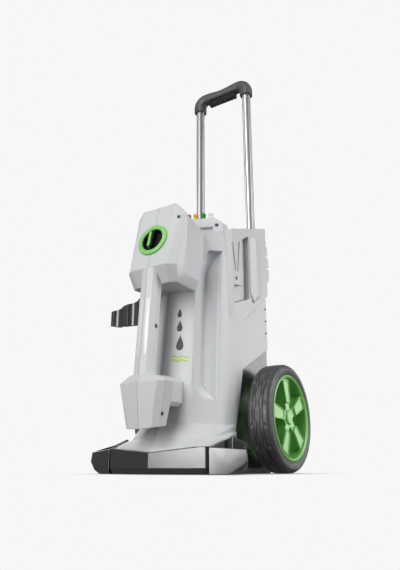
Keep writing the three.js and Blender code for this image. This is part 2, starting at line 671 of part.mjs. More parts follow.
function hubCap(side) {
  const face = TRACK_HALF - 4;
  const piece = turned('x', [
    [0, face - 9.5], [CAP_RADIUS, face - 9.5], [CAP_RADIUS, face - 4], [CAP_RADIUS - 3, face - 1], [0, face],
  ], [0, 0, AXLE_Z], 24);
  return side > 0 ? piece : piece.rotate([0, 0, 180]);
}

for (const [name, side] of SIDES) {
  add(`tyre_${name}`, tyre(side), 'tyre');
  add(`rim_${name}`, wheelRim(side), 'green');
  add(`hub_cap_${name}`, hubCap(side), 'green');
}

// ---------------------------------------------------------------- telescoping handle

const TUBE_LOW = BODY_TOP_REAR - TUBE_ENGAGED;
const TUBE_HIGH = GRIP_LOW + 22;
const SLEEVE_LOW = TUBE_LOW - HANDLE_STROKE - 8;

function hollowRod(radius, wall, from, to, centre, segments = 24) {
  const outer = rod('z', radius, from, to, centre, segments);
  return cut(outer, rod('z', radius - wall, from - 5, to + 5, centre, segments));
}

// Skins a row of convex sections, each with the same number of points, into one closed body.
function loft(sections) {
  const count = sections[0].length;
  const triangles = [];
  for (let ring = 0; ring < sections.length - 1; ring += 1) {
    for (let i = 0; i < count; i += 1) {
      const a = ring * count + i;
      const b = ring * count + (i + 1) % count;
      triangles.push(a, b, b + count, a, b + count, a + count);
    }
  }
  const last = (sections.length - 1) * count;
  for (let i = 1; i < count - 1; i += 1) {
    triangles.push(0, i + 1, i);
    triangles.push(last, last + i, last + i + 1);
  }
  const geometry = new THREE.BufferGeometry();
  geometry.setAttribute('position', new THREE.Float32BufferAttribute(sections.flat(2), 3));
  geometry.setIndex(triangles);
  return solid(geometry);
}

function gripBlank() {
  const bend = 30;
  const barZ = GRIP_LOW + GRIP_HEIGHT - GRIP_RADIUS - 1;
  const path = [[TUBE_X, GRIP_LOW, 0], [TUBE_X, barZ - bend, 0]];
  for (let i = 1; i <= 5; i += 1) {
    const turn = i * Math.PI / 10;
    path.push([TUBE_X - bend * (1 - Math.cos(turn)), barZ - bend + bend * Math.sin(turn), turn]);
  }
  const whole = [...path, ...path.slice().reverse().map(([x, z, turn]) => [-x, z, Math.PI - turn])];
  const sections = whole.map(([x, z, turn]) => {
    const section = [];
    for (let i = 0; i < 16; i += 1) {
      const angle = i * Math.PI / 8;
      const across = (GRIP_RADIUS + Math.sin(turn)) * Math.cos(angle);
      const y = TUBE_Y + GRIP_RADIUS * Math.sin(angle);
      section.push([x + across * Math.cos(turn), y, z + across * Math.sin(turn)]);
    }
    return section;
  });
  return loft(sections);
}

const BUTTON = { half: 46, deep: 9, low: GRIP_LOW + 12, high: GRIP_LOW + 27, travel: 4 };
const FINGER_PITCH = 12;         // of the small grooves along the button
const FINGER_HALF = 2;
const COIL_STEPS = 8;
const SPRING = { radius: 4, wire: 0.7, turns: 5, length: 15 };

function addHandle() {
  const seat = TUBE_RADIUS + FIT_GAP;
  const tops = [-1, 1].map((s) => rod('z', seat, GRIP_LOW - 5, TUBE_HIGH + FIT_GAP, [s * TUBE_X, TUBE_Y]));
  const slotHalf = BUTTON.half + FIT_GAP;
  const slotDeep = BUTTON.deep + FIT_GAP;
  const slot = block(
    [-slotHalf, slotHalf], [TUBE_Y - slotDeep, TUBE_Y + slotDeep],
    [BUTTON.low - 10, BUTTON.high + BUTTON.travel + 1],
  );
  const springTop = BUTTON.high + SPRING.length;
  const springWell = rod('z', SPRING.radius + 1.5, BUTTON.high, springTop + FIT_GAP * 2, [0, TUBE_Y], 20);
  add('grip', cut(gripBlank(), ...tops, slot, springWell), 'grip');
  const teeth = [];
  for (let i = -3; i <= 3; i += 1) {
    const middle = i * FINGER_PITCH;
    const across = [middle - FINGER_HALF, middle + FINGER_HALF];
    teeth.push(block(across, [TUBE_Y - 12, TUBE_Y + 12], [BUTTON.low - 1, BUTTON.low + 1.5]));
  }
  const depth = [TUBE_Y - BUTTON.deep, TUBE_Y + BUTTON.deep];
  const button = block([-BUTTON.half, BUTTON.half], depth, [BUTTON.low, BUTTON.high]);
  add('release_button', cut(button, ...teeth), 'black');
  const coil = [];
  const steps = SPRING.turns * COIL_STEPS;
  const height = SPRING.length - 2 * SPRING.wire - FIT_GAP;
  for (let i = 0; i <= steps; i += 1) {
    const angle = i * 2 * Math.PI / COIL_STEPS;
    const z = BUTTON.high + FIT_GAP + SPRING.wire + height * i / steps;
    const y = TUBE_Y + SPRING.radius * Math.sin(angle);
    coil.push(new THREE.Vector3(SPRING.radius * Math.cos(angle), y, z));
  }
  const wire = new THREE.Shape().absarc(0, 0, SPRING.wire, 0, 2 * Math.PI);
  const path = new THREE.CatmullRomCurve3(coil);
  const swept = { steps, extrudePath: path, curveSegments: 2, bevelEnabled: false };
  add('button_spring', solid(new THREE.ExtrudeGeometry(wire, swept)), 'steel');
  for (const [name, side] of SIDES) {
    const centre = [side * TUBE_X, TUBE_Y];
    add(`handle_tube_${name}`, hollowRod(TUBE_RADIUS, TUBE_WALL, TUBE_LOW, TUBE_HIGH, centre), 'steel');
    const sleeve = hollowRod(SLEEVE_RADIUS, SLEEVE_WALL, SLEEVE_LOW, COLLAR_LOW - FIT_GAP, centre);
    add(`tube_sleeve_${name}`, sleeve, 'zinc');
    const collarWall = COLLAR_RADIUS - TUBE_RADIUS - SLIDE_GAP;
    const collar = hollowRod(COLLAR_RADIUS, collarWall, COLLAR_LOW, BODY_TOP_REAR + 30, centre);
    add(`tube_collar_${name}`, cut(collar, slopeCutter(-1.5)), 'anthracite');
  }
}

addHandle();

// ---------------------------------------------------------------- nozzle caddy

const CADDY_BOW = 0.42;
const caddyFrontAt = (x) => CADDY_FRONT + CADDY_BOW * Math.abs(x);
const NOZZLE_ROW = 16;           // nozzle centres, back from the caddy's bowed front
const NOZZLE_SEAT = 14;          // depth of each nozzle's socket
const NOZZLE_HEIGHT = 18;        // height of a nozzle above the caddy
const CADDY_BAND = { near: 25, far: 65, deep: 8, drop: 26 };   // recess between two of its screws

function addCaddy() {
  const plan = (half, front, back) => {
    const ends = front + CADDY_BOW * half;
    return [[0, front], [half, ends], [half, back], [-half, back], [-half, ends]];
  };
  const rear = caddyFrontAt(CADDY_HALF) + CADDY_DEPTH - 24;
  const low = plan(CADDY_HALF + 6, CADDY_FRONT, rear).map(([x, y]) => [x, y, topAt(y) - 10]);
  const middle = plan(CADDY_HALF, CADDY_FRONT, rear).map(([x, y]) => [x, y, CADDY_TOP - 14]);
  const top = plan(CADDY_HALF - 18, CADDY_FRONT + 3, rear - 10).map(([x, y]) => [x, y, CADDY_TOP]);
  const seatLow = CADDY_TOP - NOZZLE_SEAT - FIT_GAP;
  const seats = NOZZLE_COLOURS.map((_, i) => {
    return rod('z', STEM_RADIUS + FIT_GAP, seatLow, CADDY_TOP + 10, nozzleAt(i), 24);
  });
  const below = prism('x', [
    [-FAR, topAt(-FAR) + FIT_GAP], [FAR, topAt(FAR) + FIT_GAP], [FAR, -FAR], [-FAR, -FAR],
  ], -FAR, FAR);
  const pockets = CADDY_SCREW_X.map((x) => {
    const front = caddyFrontAt(x);
    return rod('y', SCREW_POCKET, front - 20, front + 8, [x, CADDY_TOP - CADDY_SCREW_DROP], 20);
  });
  const bands = SIDES.map(([, side]) => {
    const { near, far, deep, drop } = CADDY_BAND;
    const plan = [[near, -20], [near, deep], [far, deep], [far, -20]];
    const column = ([x, back]) => [drop, CADDY_TOP].map((down) => [
      side * x, caddyFrontAt(x) + back, CADDY_TOP - down,
    ]);
    return hull(plan.flatMap(column));
  });
  const blank = hull([...low, ...middle, ...top]);
  add('nozzle_caddy', cut(blank, below, ...bands, ...seats, ...pockets), 'casing');
}

function nozzleAt(i) {
  const x = NOZZLE_LAST_X - (NOZZLE_COLOURS.length - 1 - i) * NOZZLE_PITCH;
  return [x, caddyFrontAt(x) + NOZZLE_ROW];
}

function addNozzles() {
  const paints = { black: 'black', red: 'red', yellow: 'yellow', green: 'nozzleGreen', white: 'white' };
  NOZZLE_COLOURS.forEach((colour, i) => {
    const [x, y] = nozzleAt(i);
    const stem = STEM_RADIUS;
    const base = CADDY_TOP + FIT_GAP;
    const profile = [
      [0, CADDY_TOP - NOZZLE_SEAT], [stem, CADDY_TOP - NOZZLE_SEAT], [stem, base], [NOZZLE_RADIUS, base],
      [NOZZLE_RADIUS, base + NOZZLE_HEIGHT * 0.35], [stem, base + NOZZLE_HEIGHT * 0.5],
      [NOZZLE_RADIUS, base + NOZZLE_HEIGHT * 0.65], [NOZZLE_RADIUS, base + NOZZLE_HEIGHT - 2],
      [stem, base + NOZZLE_HEIGHT], [0, base + NOZZLE_HEIGHT],
    ];
    add(`nozzle_${colour}`, turned('z', profile, [x, y, 0], 14), paints[colour]);
  });
}

addCaddy();
addNozzles();

// ---------------------------------------------------------------- gun holder, cord cleats and vent cowl

const HOLDER = {
  tip: SOCKET.outer, front: -214, rear: -150, rootX: 88, rootFront: -204, low: 347, high: 423,
};
const CHANNEL_RADIUS = 17;
const CHANNELS = [[-134, -216], [-179, -222]];   // centres of the two round channels

function addGunHolder() {
  const { tip, front, rootX, rootFront, rear, low, high } = HOLDER;
  const blank = hull([
    [-rootX, rootFront, low], [-rootX, rootFront, high], [-rootX, rear, low], [-rootX - 24, rear, low + 6],
    [-rootX, rear, high + 4], [-rootX - 14, rear, high - 4],
    [-tip + 3, front, low + 6], [-tip, front + 6, low + 44], [-tip + 3, front, low + 44],
    [-tip, front + 36, low + 10], [-tip, front + 36, low + 47],
  ]);
  const channels = CHANNELS.map((centre) => rod('z', CHANNEL_RADIUS, low - 20, high + 20, centre, 28));
  const under = [[front + 20, low - 10], [front + 20, low + 22], [rear, low + 34], [rear, low - 10]];
  const pocket = prism('x', under, -tip + 8, -rootX - 24);
  const seat = join(cut(casingBlank(-1, -FIT_GAP), cheekNotch(-1, -1)), podBlank(-1, -FIT_GAP));
  add('gun_holder', cut(blank, ...channels, pocket, seat), 'anthracite');
}

addGunHolder();

function cordCleat(side) {
  const base = POD.half + FIT_GAP;
  const front = RECESS.rear;
  const fin = hull([
    [base, front + 2, podLowAt(front) + 22], [base, front + 2, topAt(front) - 26],
    [base + 9, front + 28, podLowAt(front + 28) + 8], [base + 9, front + 28, topAt(front) - 14],
    [base, front + 72, podLowAt(front + 72) + 4], [base, front + 72, topAt(front + 72) - 34],
    [base + 2, front + 20, podLowAt(front) - 2],
  ]);
  return side > 0 ? fin : fin.mirror([1, 0, 0]);
}

for (const [name, side] of SIDES) add(`cord_cleat_${name}`, cordCleat(side), 'casing');

function addCowl() {
  const shell = (inset) => {
    const near = BODY_REAR + FIT_GAP - (inset ? 5 : 0);
    const far = BODY_REAR + COWL.depth - inset;
    const half = COWL.half - inset;
    const points = [
      [half, near, COWL.low + inset], [half, near, COWL.high - inset],
      [half, BODY_REAR + 12, COWL.high - 4 - inset], [half, BODY_REAR + 26, COWL.high - 30 - inset],
      [half - 4, far, COWL.belly + 10], [half - 4, far - 3, COWL.belly - 26],
      [half, BODY_REAR + 10, COWL.low + 4 + inset],
    ];
    return hull(points.flatMap(([x, y, z]) => [[x, y, z], [-x, y, z]]));
  };
  const louvres = [];
  for (let i = 0; i < COWL.louvres; i += 1) {
    const z = COWL.high - 34 - i * 36;
    const near = BODY_REAR + 12;
    const far = BODY_REAR + 50;
    const slot = [[near, z - 8], [far, z + 10], [far, z + 18], [near, z - 2]];
    louvres.push(prism('x', slot, COWL.half - 26, COWL.half + 20));
    louvres.push(prism('x', slot, 26 - COWL.half, -COWL.half - 20));
  }
  add('vent_cowl', cut(shell(0), shell(WALL), ...louvres), 'casing');
}

addCowl();

// ---------------------------------------------------------------- motor, pump and fittings

const POST_HALF = 7;
const POSTS = [[-46, -168], [46, -168], [-74, -34], [74, -34]];
const AIR_GAP = 0.8;             // between rotor and windings
const SWASH_RADIUS = 32;
const SWASH_TILT = 9;            // degrees
const CAPACITOR_RADIUS = 18;
const PISTON_CIRCLE = 22;        // radius that the three pistons stand on

function addPowerUnit() {
  const plateTop = BRACKET_Z + BRACKET_THICKNESS;
  const centre = [0, MOTOR_Y];
  const shaftBore = rod('z', SHAFT_RADIUS + RUN_GAP, 0, 700, centre, 32);
  const plan = [[-96, -118], [-44, -188], [44, -188], [96, -118], [96, -14], [-96, -14]];
  const plate = prism('z', plan, BRACKET_Z, plateTop);
  const post = ([x, y]) => block(
    [x - POST_HALF, x + POST_HALF], [y - POST_HALF, y + POST_HALF], [TRAY_FLOOR + FIT_GAP, BRACKET_Z],
  );
  const posts = POSTS.map(post);
  const opening = rod('z', SHAFT_RADIUS + 4, 0, 700, centre, 24);
  add('motor_frame', cut(join(plate, ...posts), opening), 'zinc');

  const canLow = plateTop + FIT_GAP;
  const canHigh = canLow + MOTOR_LENGTH;
  const canBlank = rod('z', MOTOR_RADIUS, canLow, canHigh, centre, 28);
  const canRoom = rod('z', MOTOR_RADIUS - WALL, canLow + 4, canHigh + 5, centre, 28);
  add('motor_can', cut(canBlank, canRoom, shaftBore), 'zinc');
  const statorRadius = MOTOR_RADIUS - WALL - FIT_GAP;
  const coreLow = canLow + 14;
  const coreHigh = canHigh - 20;
  const windingWall = statorRadius - ROTOR_RADIUS - AIR_GAP;
  add('motor_stator', hollowRod(statorRadius, windingWall, coreLow, coreHigh, centre, 28), 'brass');
  const shaftSeat = rod('z', SHAFT_RADIUS + FIT_GAP, 0, 700, centre, 32);
  add('motor_rotor', cut(rod('z', ROTOR_RADIUS, coreLow, coreHigh, centre, 28), shaftSeat), 'zinc');
  const lid = rod('z', MOTOR_RADIUS, canHigh + FIT_GAP, canHigh + 12, centre, 28);
  add('motor_end_bell', cut(lid, shaftBore), 'zinc');

  const fanLow = canHigh + 18;
  const hub = rod('z', SHAFT_RADIUS + 6, fanLow, fanLow + 20, centre, 24);
  const blades = [];
  for (let i = 0; i < FAN_BLADES; i += 1) {
    const blade = hull([[SHAFT_RADIUS + 3, 2], [FAN_RADIUS, 9]].flatMap(([r, lean]) => [
      [r, -lean, 1], [r, 1.6 - lean, 1], [r, lean, 18], [r, lean + 1.6, 18],
    ]));
    blades.push(move(blade.rotate([0, 0, i * 360 / FAN_BLADES]), 0, MOTOR_Y, fanLow));
  }
  add('cooling_fan', cut(join(hub, ...blades), shaftSeat), 'black');

  const pumpHigh = BRACKET_Z - FIT_GAP;
  const pumpLow = pumpHigh - PUMP_LENGTH;
  const swashZ = pumpLow + 44;
  add('drive_shaft', rod('z', SHAFT_RADIUS, swashZ - 8, fanLow + 24, centre, 32), 'steel');
  const swash = rod('z', SWASH_RADIUS, -7, 7, [0, 0], 32).rotate([0, SWASH_TILT, 0]);
  add('wobble_plate', cut(move(swash, 0, MOTOR_Y, swashZ), shaftSeat), 'steel');

  const pistonSpots = [0, 1, 2].map((i) => {
    const angle = Math.PI / 2 + i * 2 * Math.PI / 3;
    return [PISTON_CIRCLE * Math.cos(angle), MOTOR_Y + PISTON_CIRCLE * Math.sin(angle)];
  });
  const bores = pistonSpots.map((spot) => rod('z', PISTON_RADIUS + RUN_GAP, pumpLow - 5, swashZ, spot, 24));
  const housing = rod('z', PUMP_RADIUS, pumpLow, pumpHigh, centre, 28);
  const housingRoom = rod('z', PUMP_RADIUS - 6, pumpLow + 22, pumpHigh + 5, centre, 28);
  add('pump_housing', cut(housing, housingRoom, ...bores), 'zinc');
  pistonSpots.forEach((spot, i) => {
    add(`piston_${i + 1}`, rod('z', PISTON_RADIUS, pumpLow + 1, swashZ - 14, spot, 24), 'steel');
  });

  const headHigh = pumpLow - FIT_GAP;
  const headLow = headHigh - PUMP_HEAD_HEIGHT;
  const headRear = MOTOR_Y + 40;
  const headFront = MOTOR_Y - 40;
  add('pump_head', block([-44, 44], [headFront, headRear], [headLow, headHigh]), 'zinc');
  const switchBox = block([-18, 18], [headFront - 38, headFront - FIT_GAP], [headLow + 10, headHigh - 8]);
  add('pressure_switch', switchBox, 'black');
  const reach = BODY_REAR + 24;
  const panel = BODY_REAR - CHASSIS_INSET + FIT_GAP;
  const collar = (s) => rod('y', FITTING_RADIUS + 4, panel, BODY_REAR + 8, [s * FITTING_X, FITTING_Z], 6);
  const stem = (s, radius) => rod('y', radius, headRear + FIT_GAP, reach, [s * FITTING_X, FITTING_Z], 32);
  add('water_inlet', join(stem(1, FITTING_RADIUS), collar(1)), 'brass');
  add('outlet_fitting', join(stem(-1, FITTING_RADIUS - 1), collar(-1)), 'brass');
  const flange = rod('y', GLAND_RADIUS + 4, panel, BODY_REAR + 6, GLAND, 24);
  const glandStem = rod('y', GLAND_RADIUS, BODY_REAR - 20, BODY_REAR + 18, GLAND, 24);
  add('cord_gland', join(glandStem, flange), 'black');
  const motorFront = MOTOR_Y - MOTOR_RADIUS;
  const capacitorSpot = [-4 - CAPACITOR_RADIUS, motorFront - 10 - CAPACITOR_RADIUS];
  add('capacitor', rod('z', CAPACITOR_RADIUS, canLow, plateTop + 74, capacitorSpot, 28), 'white');
  const box = block([4, 40], [motorFront - 48, motorFront - 10], [canLow, plateTop + 60]);
  add('junction_box', box, 'black');
}

addPowerUnit();

// ---------------------------------------------------------------- visible screws

function screw(side, x, [y, z]) {
  const head = rod('x', SCREW_RADIUS, side * (x + FIT_GAP), side * (x + 3), [y, z], 20);
  return cut(head, rod('x', SCREW_RADIUS / 2, side * (x + 1.6), side * (x + 5), [y, z], 6));
}

function addScrews() {
  add('head_screw', screw(1, HEAD_HALF - 20, HEAD_SCREW), 'black');
  add('column_screw', screw(1, COLUMN_HALF - 5, COLUMN_SCREW), 'black');
  add('boot_screw', screw(1, 44, BOOT_SCREW), 'black');
}

addScrews();

// ---------------------------------------------------------------- placed on the origin

machine.position.y = -(BOOT_FRONT + WHEEL_RADIUS) / 2;

export default machine;
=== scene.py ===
"""Looks of the upright pressure washer: the CAD's own shells, and detailed tyres, tubes, grip,
selector, nozzles, screws, panels and a printed graphic made here. Metres, +Z up, -Y front."""
import json
import math

import bpy
from mathutils import Matrix, Vector


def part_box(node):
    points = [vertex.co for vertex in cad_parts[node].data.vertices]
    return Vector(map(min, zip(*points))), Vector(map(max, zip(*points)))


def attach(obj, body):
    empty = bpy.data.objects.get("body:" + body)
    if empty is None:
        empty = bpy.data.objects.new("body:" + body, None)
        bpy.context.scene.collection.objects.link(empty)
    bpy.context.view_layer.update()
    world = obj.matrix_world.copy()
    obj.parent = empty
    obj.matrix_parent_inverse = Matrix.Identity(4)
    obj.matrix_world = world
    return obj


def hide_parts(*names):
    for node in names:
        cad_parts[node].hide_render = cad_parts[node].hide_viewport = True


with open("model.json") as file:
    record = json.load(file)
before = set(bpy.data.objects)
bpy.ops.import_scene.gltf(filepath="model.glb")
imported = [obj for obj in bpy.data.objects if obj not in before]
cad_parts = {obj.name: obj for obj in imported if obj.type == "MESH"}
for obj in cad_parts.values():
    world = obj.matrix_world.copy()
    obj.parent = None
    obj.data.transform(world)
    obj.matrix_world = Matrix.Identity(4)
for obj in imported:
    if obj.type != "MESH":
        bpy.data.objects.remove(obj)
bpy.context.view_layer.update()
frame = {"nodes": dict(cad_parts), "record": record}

NODES = frame["nodes"]
MM = 0.001
SIDES = {"left": 1, "right": -1}


# ---------------------------------------------------------------- materials

class Shader:
    """A Principled material whose nodes are added one after another."""

    def __init__(self, name, metallic=0.0, specular=0.5, coat=0.0):
        self.material = bpy.data.materials.new(name)
        self.material.use_nodes = True
        self.tree = self.material.node_tree
        self.surface = self.tree.nodes["Principled BSDF"]
        self.surface.inputs["Metallic"].default_value = metallic
        self.surface.inputs["Specular IOR Level"].default_value = specular
        self.surface.inputs["Coat Weight"].default_value = coat
        self.surface.inputs["Coat Roughness"].default_value = 0.15
        self.place = self.tree.nodes.new("ShaderNodeTexCoord").outputs["Object"]

    def link(self, output, socket):
        self.tree.links.new(output, socket)

    def noise(self, per_metre, detail, stretch=(1, 1, 1)):
        mapping = self.tree.nodes.new("ShaderNodeMapping")
        mapping.inputs["Scale"].default_value = stretch
        self.link(self.place, mapping.inputs["Vector"])
        noise = self.tree.nodes.new("ShaderNodeTexNoise")
        noise.inputs["Scale"].default_value = per_metre
        noise.inputs["Detail"].default_value = detail
        self.link(mapping.outputs["Vector"], noise.inputs["Vector"])
        return noise.outputs["Fac"]

    def spread(self, output, low, high, start=0.3, end=0.7):
        """Maps a 0 to 1 output onto a range."""
        node = self.tree.nodes.new("ShaderNodeMapRange")
        values = {"From Min": start, "From Max": end, "To Min": low, "To Max": high}
        for socket, value in values.items():
            node.inputs[socket].default_value = value
        self.link(output, node.inputs["Value"])
        return node.outputs["Result"]

    def mix(self, factor, first, second):
        node = self.tree.nodes.new("ShaderNodeMix")
        node.data_type = "RGBA"
        for index, colour in ((6, first), (7, second)):
            if isinstance(colour, tuple):
                node.inputs[index].default_value = (*colour, 1)
            else:
                self.link(colour, node.inputs[index])
        self.link(factor, node.inputs[0])
        return node.outputs[2]

    def bump(self, output, depth, strength, edge=0.0):
        """Surface relief, over edges that look rounded to a radius where one is given."""
        node = self.tree.nodes.new("ShaderNodeBump")
        if edge:
            rounding = self.tree.nodes.new("ShaderNodeBevel")
            rounding.samples = 6
            rounding.inputs["Radius"].default_value = edge
            self.link(rounding.outputs["Normal"], node.inputs["Normal"])
        node.inputs["Strength"].default_value = strength
        node.inputs["Distance"].default_value = depth
        self.link(output, node.inputs["Height"])
        self.link(node.outputs["Normal"], self.surface.inputs["Normal"])

    def colour(self, output):
        self.link(output, self.surface.inputs["Base Color"])

    def roughness(self, output):
        self.link(output, self.surface.inputs["Roughness"])


def darker(colour, share):
    return tuple(c * share for c in colour)


def plastic(name, colour, roughness, grain=1400, depth=0.05 * MM, mottle=0.93, edge=0.0,
            **more):
    """Moulded plastic: a spark-eroded grain, faint flow marks and small changes in gloss."""
    shader = Shader(name, **more)
    flow = shader.spread(shader.noise(14, 4, (1, 1, 0.35)), 0, 1)
    speck = shader.spread(shader.noise(grain * 0.6, 1), 0, 1, 0.35, 0.75)
    base = shader.mix(flow, darker(colour, mottle), colour)
    shader.colour(shader.mix(speck, base, darker(colour, (1 + mottle) / 2)))
    shader.roughness(shader.spread(shader.noise(60, 3), roughness - 0.02, roughness + 0.03))
    shader.bump(shader.noise(grain, 2), depth, 0.6, edge)
    return shader.material


def brushed(name, colour, roughness, along=(1, 1, 0.01)):
    """Metal drawn or brushed along one axis."""
    shader = Shader(name, metallic=1.0)
    streaks = shader.noise(900, 2, along)
    shader.colour(shader.mix(shader.spread(streaks, 0, 1), darker(colour, 0.93), colour))
    shader.roughness(shader.spread(streaks, roughness - 0.03, roughness + 0.04))
    return shader.material


def cast(name, colour, roughness):
    """Cast metal with a fine open grain and darker low spots."""
    shader = Shader(name, metallic=1.0)
    grain = shader.noise(420, 5)
    shader.colour(shader.mix(shader.spread(grain, 0, 1), darker(colour, 0.7), colour))
    shader.roughness(shader.spread(shader.noise(90, 2), roughness - 0.08, roughness + 0.12))
    shader.bump(grain, 0.12 * MM, 0.5)
    return shader.material


def rubber(name, colour):
    """Tyre rubber: matt black with a bloom of grey dust and mould texture."""
    shader = Shader(name, specular=0.8)
    bloom = shader.spread(shader.noise(34, 5), 0, 1, 0.42, 0.72)
    shader.colour(shader.mix(bloom, colour, tuple(c * 1.9 + 0.004 for c in colour)))
    shader.roughness(shader.spread(shader.noise(120, 3), 0.42, 0.58))
    shader.bump(shader.noise(1100, 3), 0.09 * MM, 0.5)
    return shader.material


# The edge radii round these materials' edges in the shading only. Names that start with print_
# are not slots of the record.
MATERIALS = {
    "casing": plastic("casing_plastic", (0.63, 0.64, 0.65), 0.42, mottle=0.975, edge=3 * MM),
    "anthracite": plastic("anthracite_plastic", (0.037, 0.0375, 0.038), 0.24, 1100, 0.02 * MM,
                          0.85, edge=1.6 * MM, specular=1.0),
    "green": plastic("green_plastic", (0.27, 0.68, 0.17), 0.36, 1300, 0.03 * MM, 0.9,
                     edge=1.3 * MM, coat=0.2),
    "black": plastic("black_plastic", (0.011, 0.0112, 0.012), 0.26, 1500, 0.02 * MM, 0.7,
                     edge=0.8 * MM, coat=0.2),
    "grip": plastic("grip_plastic", (0.1, 0.101, 0.103), 0.42, 900, 0.1 * MM, 0.8),
    "tube": brushed("drawn_tube", (0.62, 0.62, 0.615), 0.36),
    "steel": brushed("ground_steel", (0.56, 0.57, 0.58), 0.25, (1, 1, 0.1)),
    "zinc": cast("cast_alloy", (0.55, 0.56, 0.57), 0.42),
    "brass": cast("brass", (0.72, 0.5, 0.2), 0.32),
    "tyre": rubber("tyre_rubber", (0.036, 0.036, 0.0365)),
    "nozzle_red": plastic("nozzle_red", (0.5, 0.02, 0.012), 0.34, mottle=0.85),
    "nozzle_yellow": plastic("nozzle_yellow", (0.78, 0.46, 0.02), 0.34, mottle=0.88),
    "nozzle_green": plastic("nozzle_green", (0.012, 0.27, 0.05), 0.34, mottle=0.85),
    "nozzle_white": plastic("nozzle_white", (0.75, 0.76, 0.76), 0.36, mottle=0.95),
    "print_pale": plastic("print_pale", (0.55, 0.56, 0.56), 0.45, mottle=0.93),
    "print_gloss": plastic("gloss_panel", (0.76, 0.77, 0.78), 0.24, mottle=0.975),
    "print_dark": plastic("print_dark", (0.012, 0.012, 0.013), 0.45, mottle=0.85),
    "print_lime": plastic("print_lime", (0.45, 0.62, 0.015), 0.45, mottle=0.93),
}


# ---------------------------------------------------------------- building helpers

def make_piece(name, vertices, faces, slot, body, sharp=32):
    """A mesh object riding on a body, smooth but for edges over an angle in degrees."""
    mesh = bpy.data.meshes.new(name)
    mesh.from_pydata([tuple(v) for v in vertices], [], faces)
    mesh.validate()
    mesh.polygons.foreach_set("use_smooth", [True] * len(mesh.polygons))
    mesh.set_sharp_from_angle(angle=math.radians(sharp))
    mesh.materials.append(MATERIALS[slot])
    piece = bpy.data.objects.new(name, mesh)
    bpy.context.scene.collection.objects.link(piece)
    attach(piece, body)
    return piece


def skin(sections, closed=False, capped=True):
    """Vertices and faces that join a row of rings with the same number of points."""
    count = len(sections[0])
    vertices = [v for section in sections for v in section]
    faces = []
    rows = len(sections) if closed else len(sections) - 1
    for row in range(rows):
        here = row * count
        there = (row + 1) % len(sections) * count
        for i in range(count):
            j = (i + 1) % count
            faces.append((here + i, here + j, there + j, there + i))
    if capped and not closed:
        faces.append(tuple(reversed(range(count))))
        faces.append(tuple(range((len(sections) - 1) * count, len(vertices))))
    return vertices, faces


def spun(profile, steps=96, place=Matrix.Identity(4)):
    """A closed ring profile of (radius, height) turned about Z, then placed."""
    sections = []
    for step in range(steps):
        turn = 2 * math.pi * step / steps
        ring = [Vector((r * math.cos(turn), r * math.sin(turn), h)) for r, h in profile]
        sections.append([place @ v for v in ring])
    return skin(sections, closed=True)


def rounded(corners, radius, steps=4):
    """The closed outline with each corner turned into an arc-like curve."""
    outline = []
    for i, corner in enumerate(corners):
        here = Vector(corner)
        before = Vector(corners[i - 1])
        after = Vector(corners[(i + 1) % len(corners)])
        reach = min(radius, (before - here).length * 0.45, (after - here).length * 0.45)
        start = here + (before - here).normalized() * reach
        end = here + (after - here).normalized() * reach
        for step in range(steps + 1):
            t = step / steps
            outline.append((1 - t) ** 2 * start + 2 * t * (1 - t) * here + t ** 2 * end)
    return outline


def axis_place(centre, direction):
    """Puts a piece made about +Z at a point, with its +Z along a direction."""
    turn = Vector((0, 0, 1)).rotation_difference(Vector(direction)).to_matrix().to_4x4()
    return Matrix.Translation(Vector(centre)) @ turn


def middle(node):
    low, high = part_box(node)
    return (low + high) / 2


# ---------------------------------------------------------------- CAD shells kept as they are

def smooth_group(sharp):
    """A node group that shades a mesh smooth but for edges over an angle in degrees."""
    group = bpy.data.node_groups.new(f"smooth_under_{sharp}", "GeometryNodeTree")
    group.interface.new_socket("Geometry", in_out="INPUT", socket_type="NodeSocketGeometry")
    group.interface.new_socket("Geometry", in_out="OUTPUT", socket_type="NodeSocketGeometry")
    start = group.nodes.new("NodeGroupInput")
    smooth = group.nodes.new("GeometryNodeSetShadeSmooth")
    end = group.nodes.new("NodeGroupOutput")
    group.links.new(start.outputs[0], smooth.inputs["Geometry"])
    angle = group.nodes.new("GeometryNodeInputMeshEdgeAngle")
    over = group.nodes.new("FunctionNodeCompare")
    over.inputs["B"].default_value = math.radians(sharp)
    crease = group.nodes.new("GeometryNodeSetShadeSmooth")
    crease.domain = "EDGE"
    crease.inputs["Shade Smooth"].default_value = False
    group.links.new(angle.outputs["Unsigned Angle"], over.inputs["A"])
    group.links.new(over.outputs["Result"], crease.inputs["Selection"])
    group.links.new(smooth.outputs[0], crease.inputs["Geometry"])
    group.links.new(crease.outputs[0], end.inputs[0])
    return group


SMOOTH_BEVELLED = smooth_group(50)
SMOOTH_PLAIN = smooth_group(22)
WELD_REACH = 0.01 * MM
FLAT_UNDER = math.radians(0.6)
BEVEL_OVER = math.radians(24)


def dress(node, slot, edge):
    """Gives a CAD node its material, and rounds its edges with modifiers only."""
    piece = NODES[node]
    piece.data.materials.clear()
    piece.data.materials.append(MATERIALS[slot])
    weld = piece.modifiers.new("weld", "WELD")
    weld.merge_threshold = WELD_REACH
    flat = piece.modifiers.new("flat_faces", "DECIMATE")
    flat.decimate_type = "DISSOLVE"
    flat.angle_limit = FLAT_UNDER
    if edge:
        bevel = piece.modifiers.new("edges", "BEVEL")
        bevel.width = edge
        bevel.segments = 3
        bevel.limit_method = "ANGLE"
        bevel.angle_limit = BEVEL_OVER
        bevel.use_clamp_overlap = True
        bevel.miter_outer = "MITER_ARC"
    smooth = piece.modifiers.new("smooth", "NODES")
    smooth.node_group = SMOOTH_BEVELLED if edge else SMOOTH_PLAIN
    weighted = piece.modifiers.new("normals", "WEIGHTED_NORMAL")
    weighted.keep_sharp = True
    weighted.weight = 80


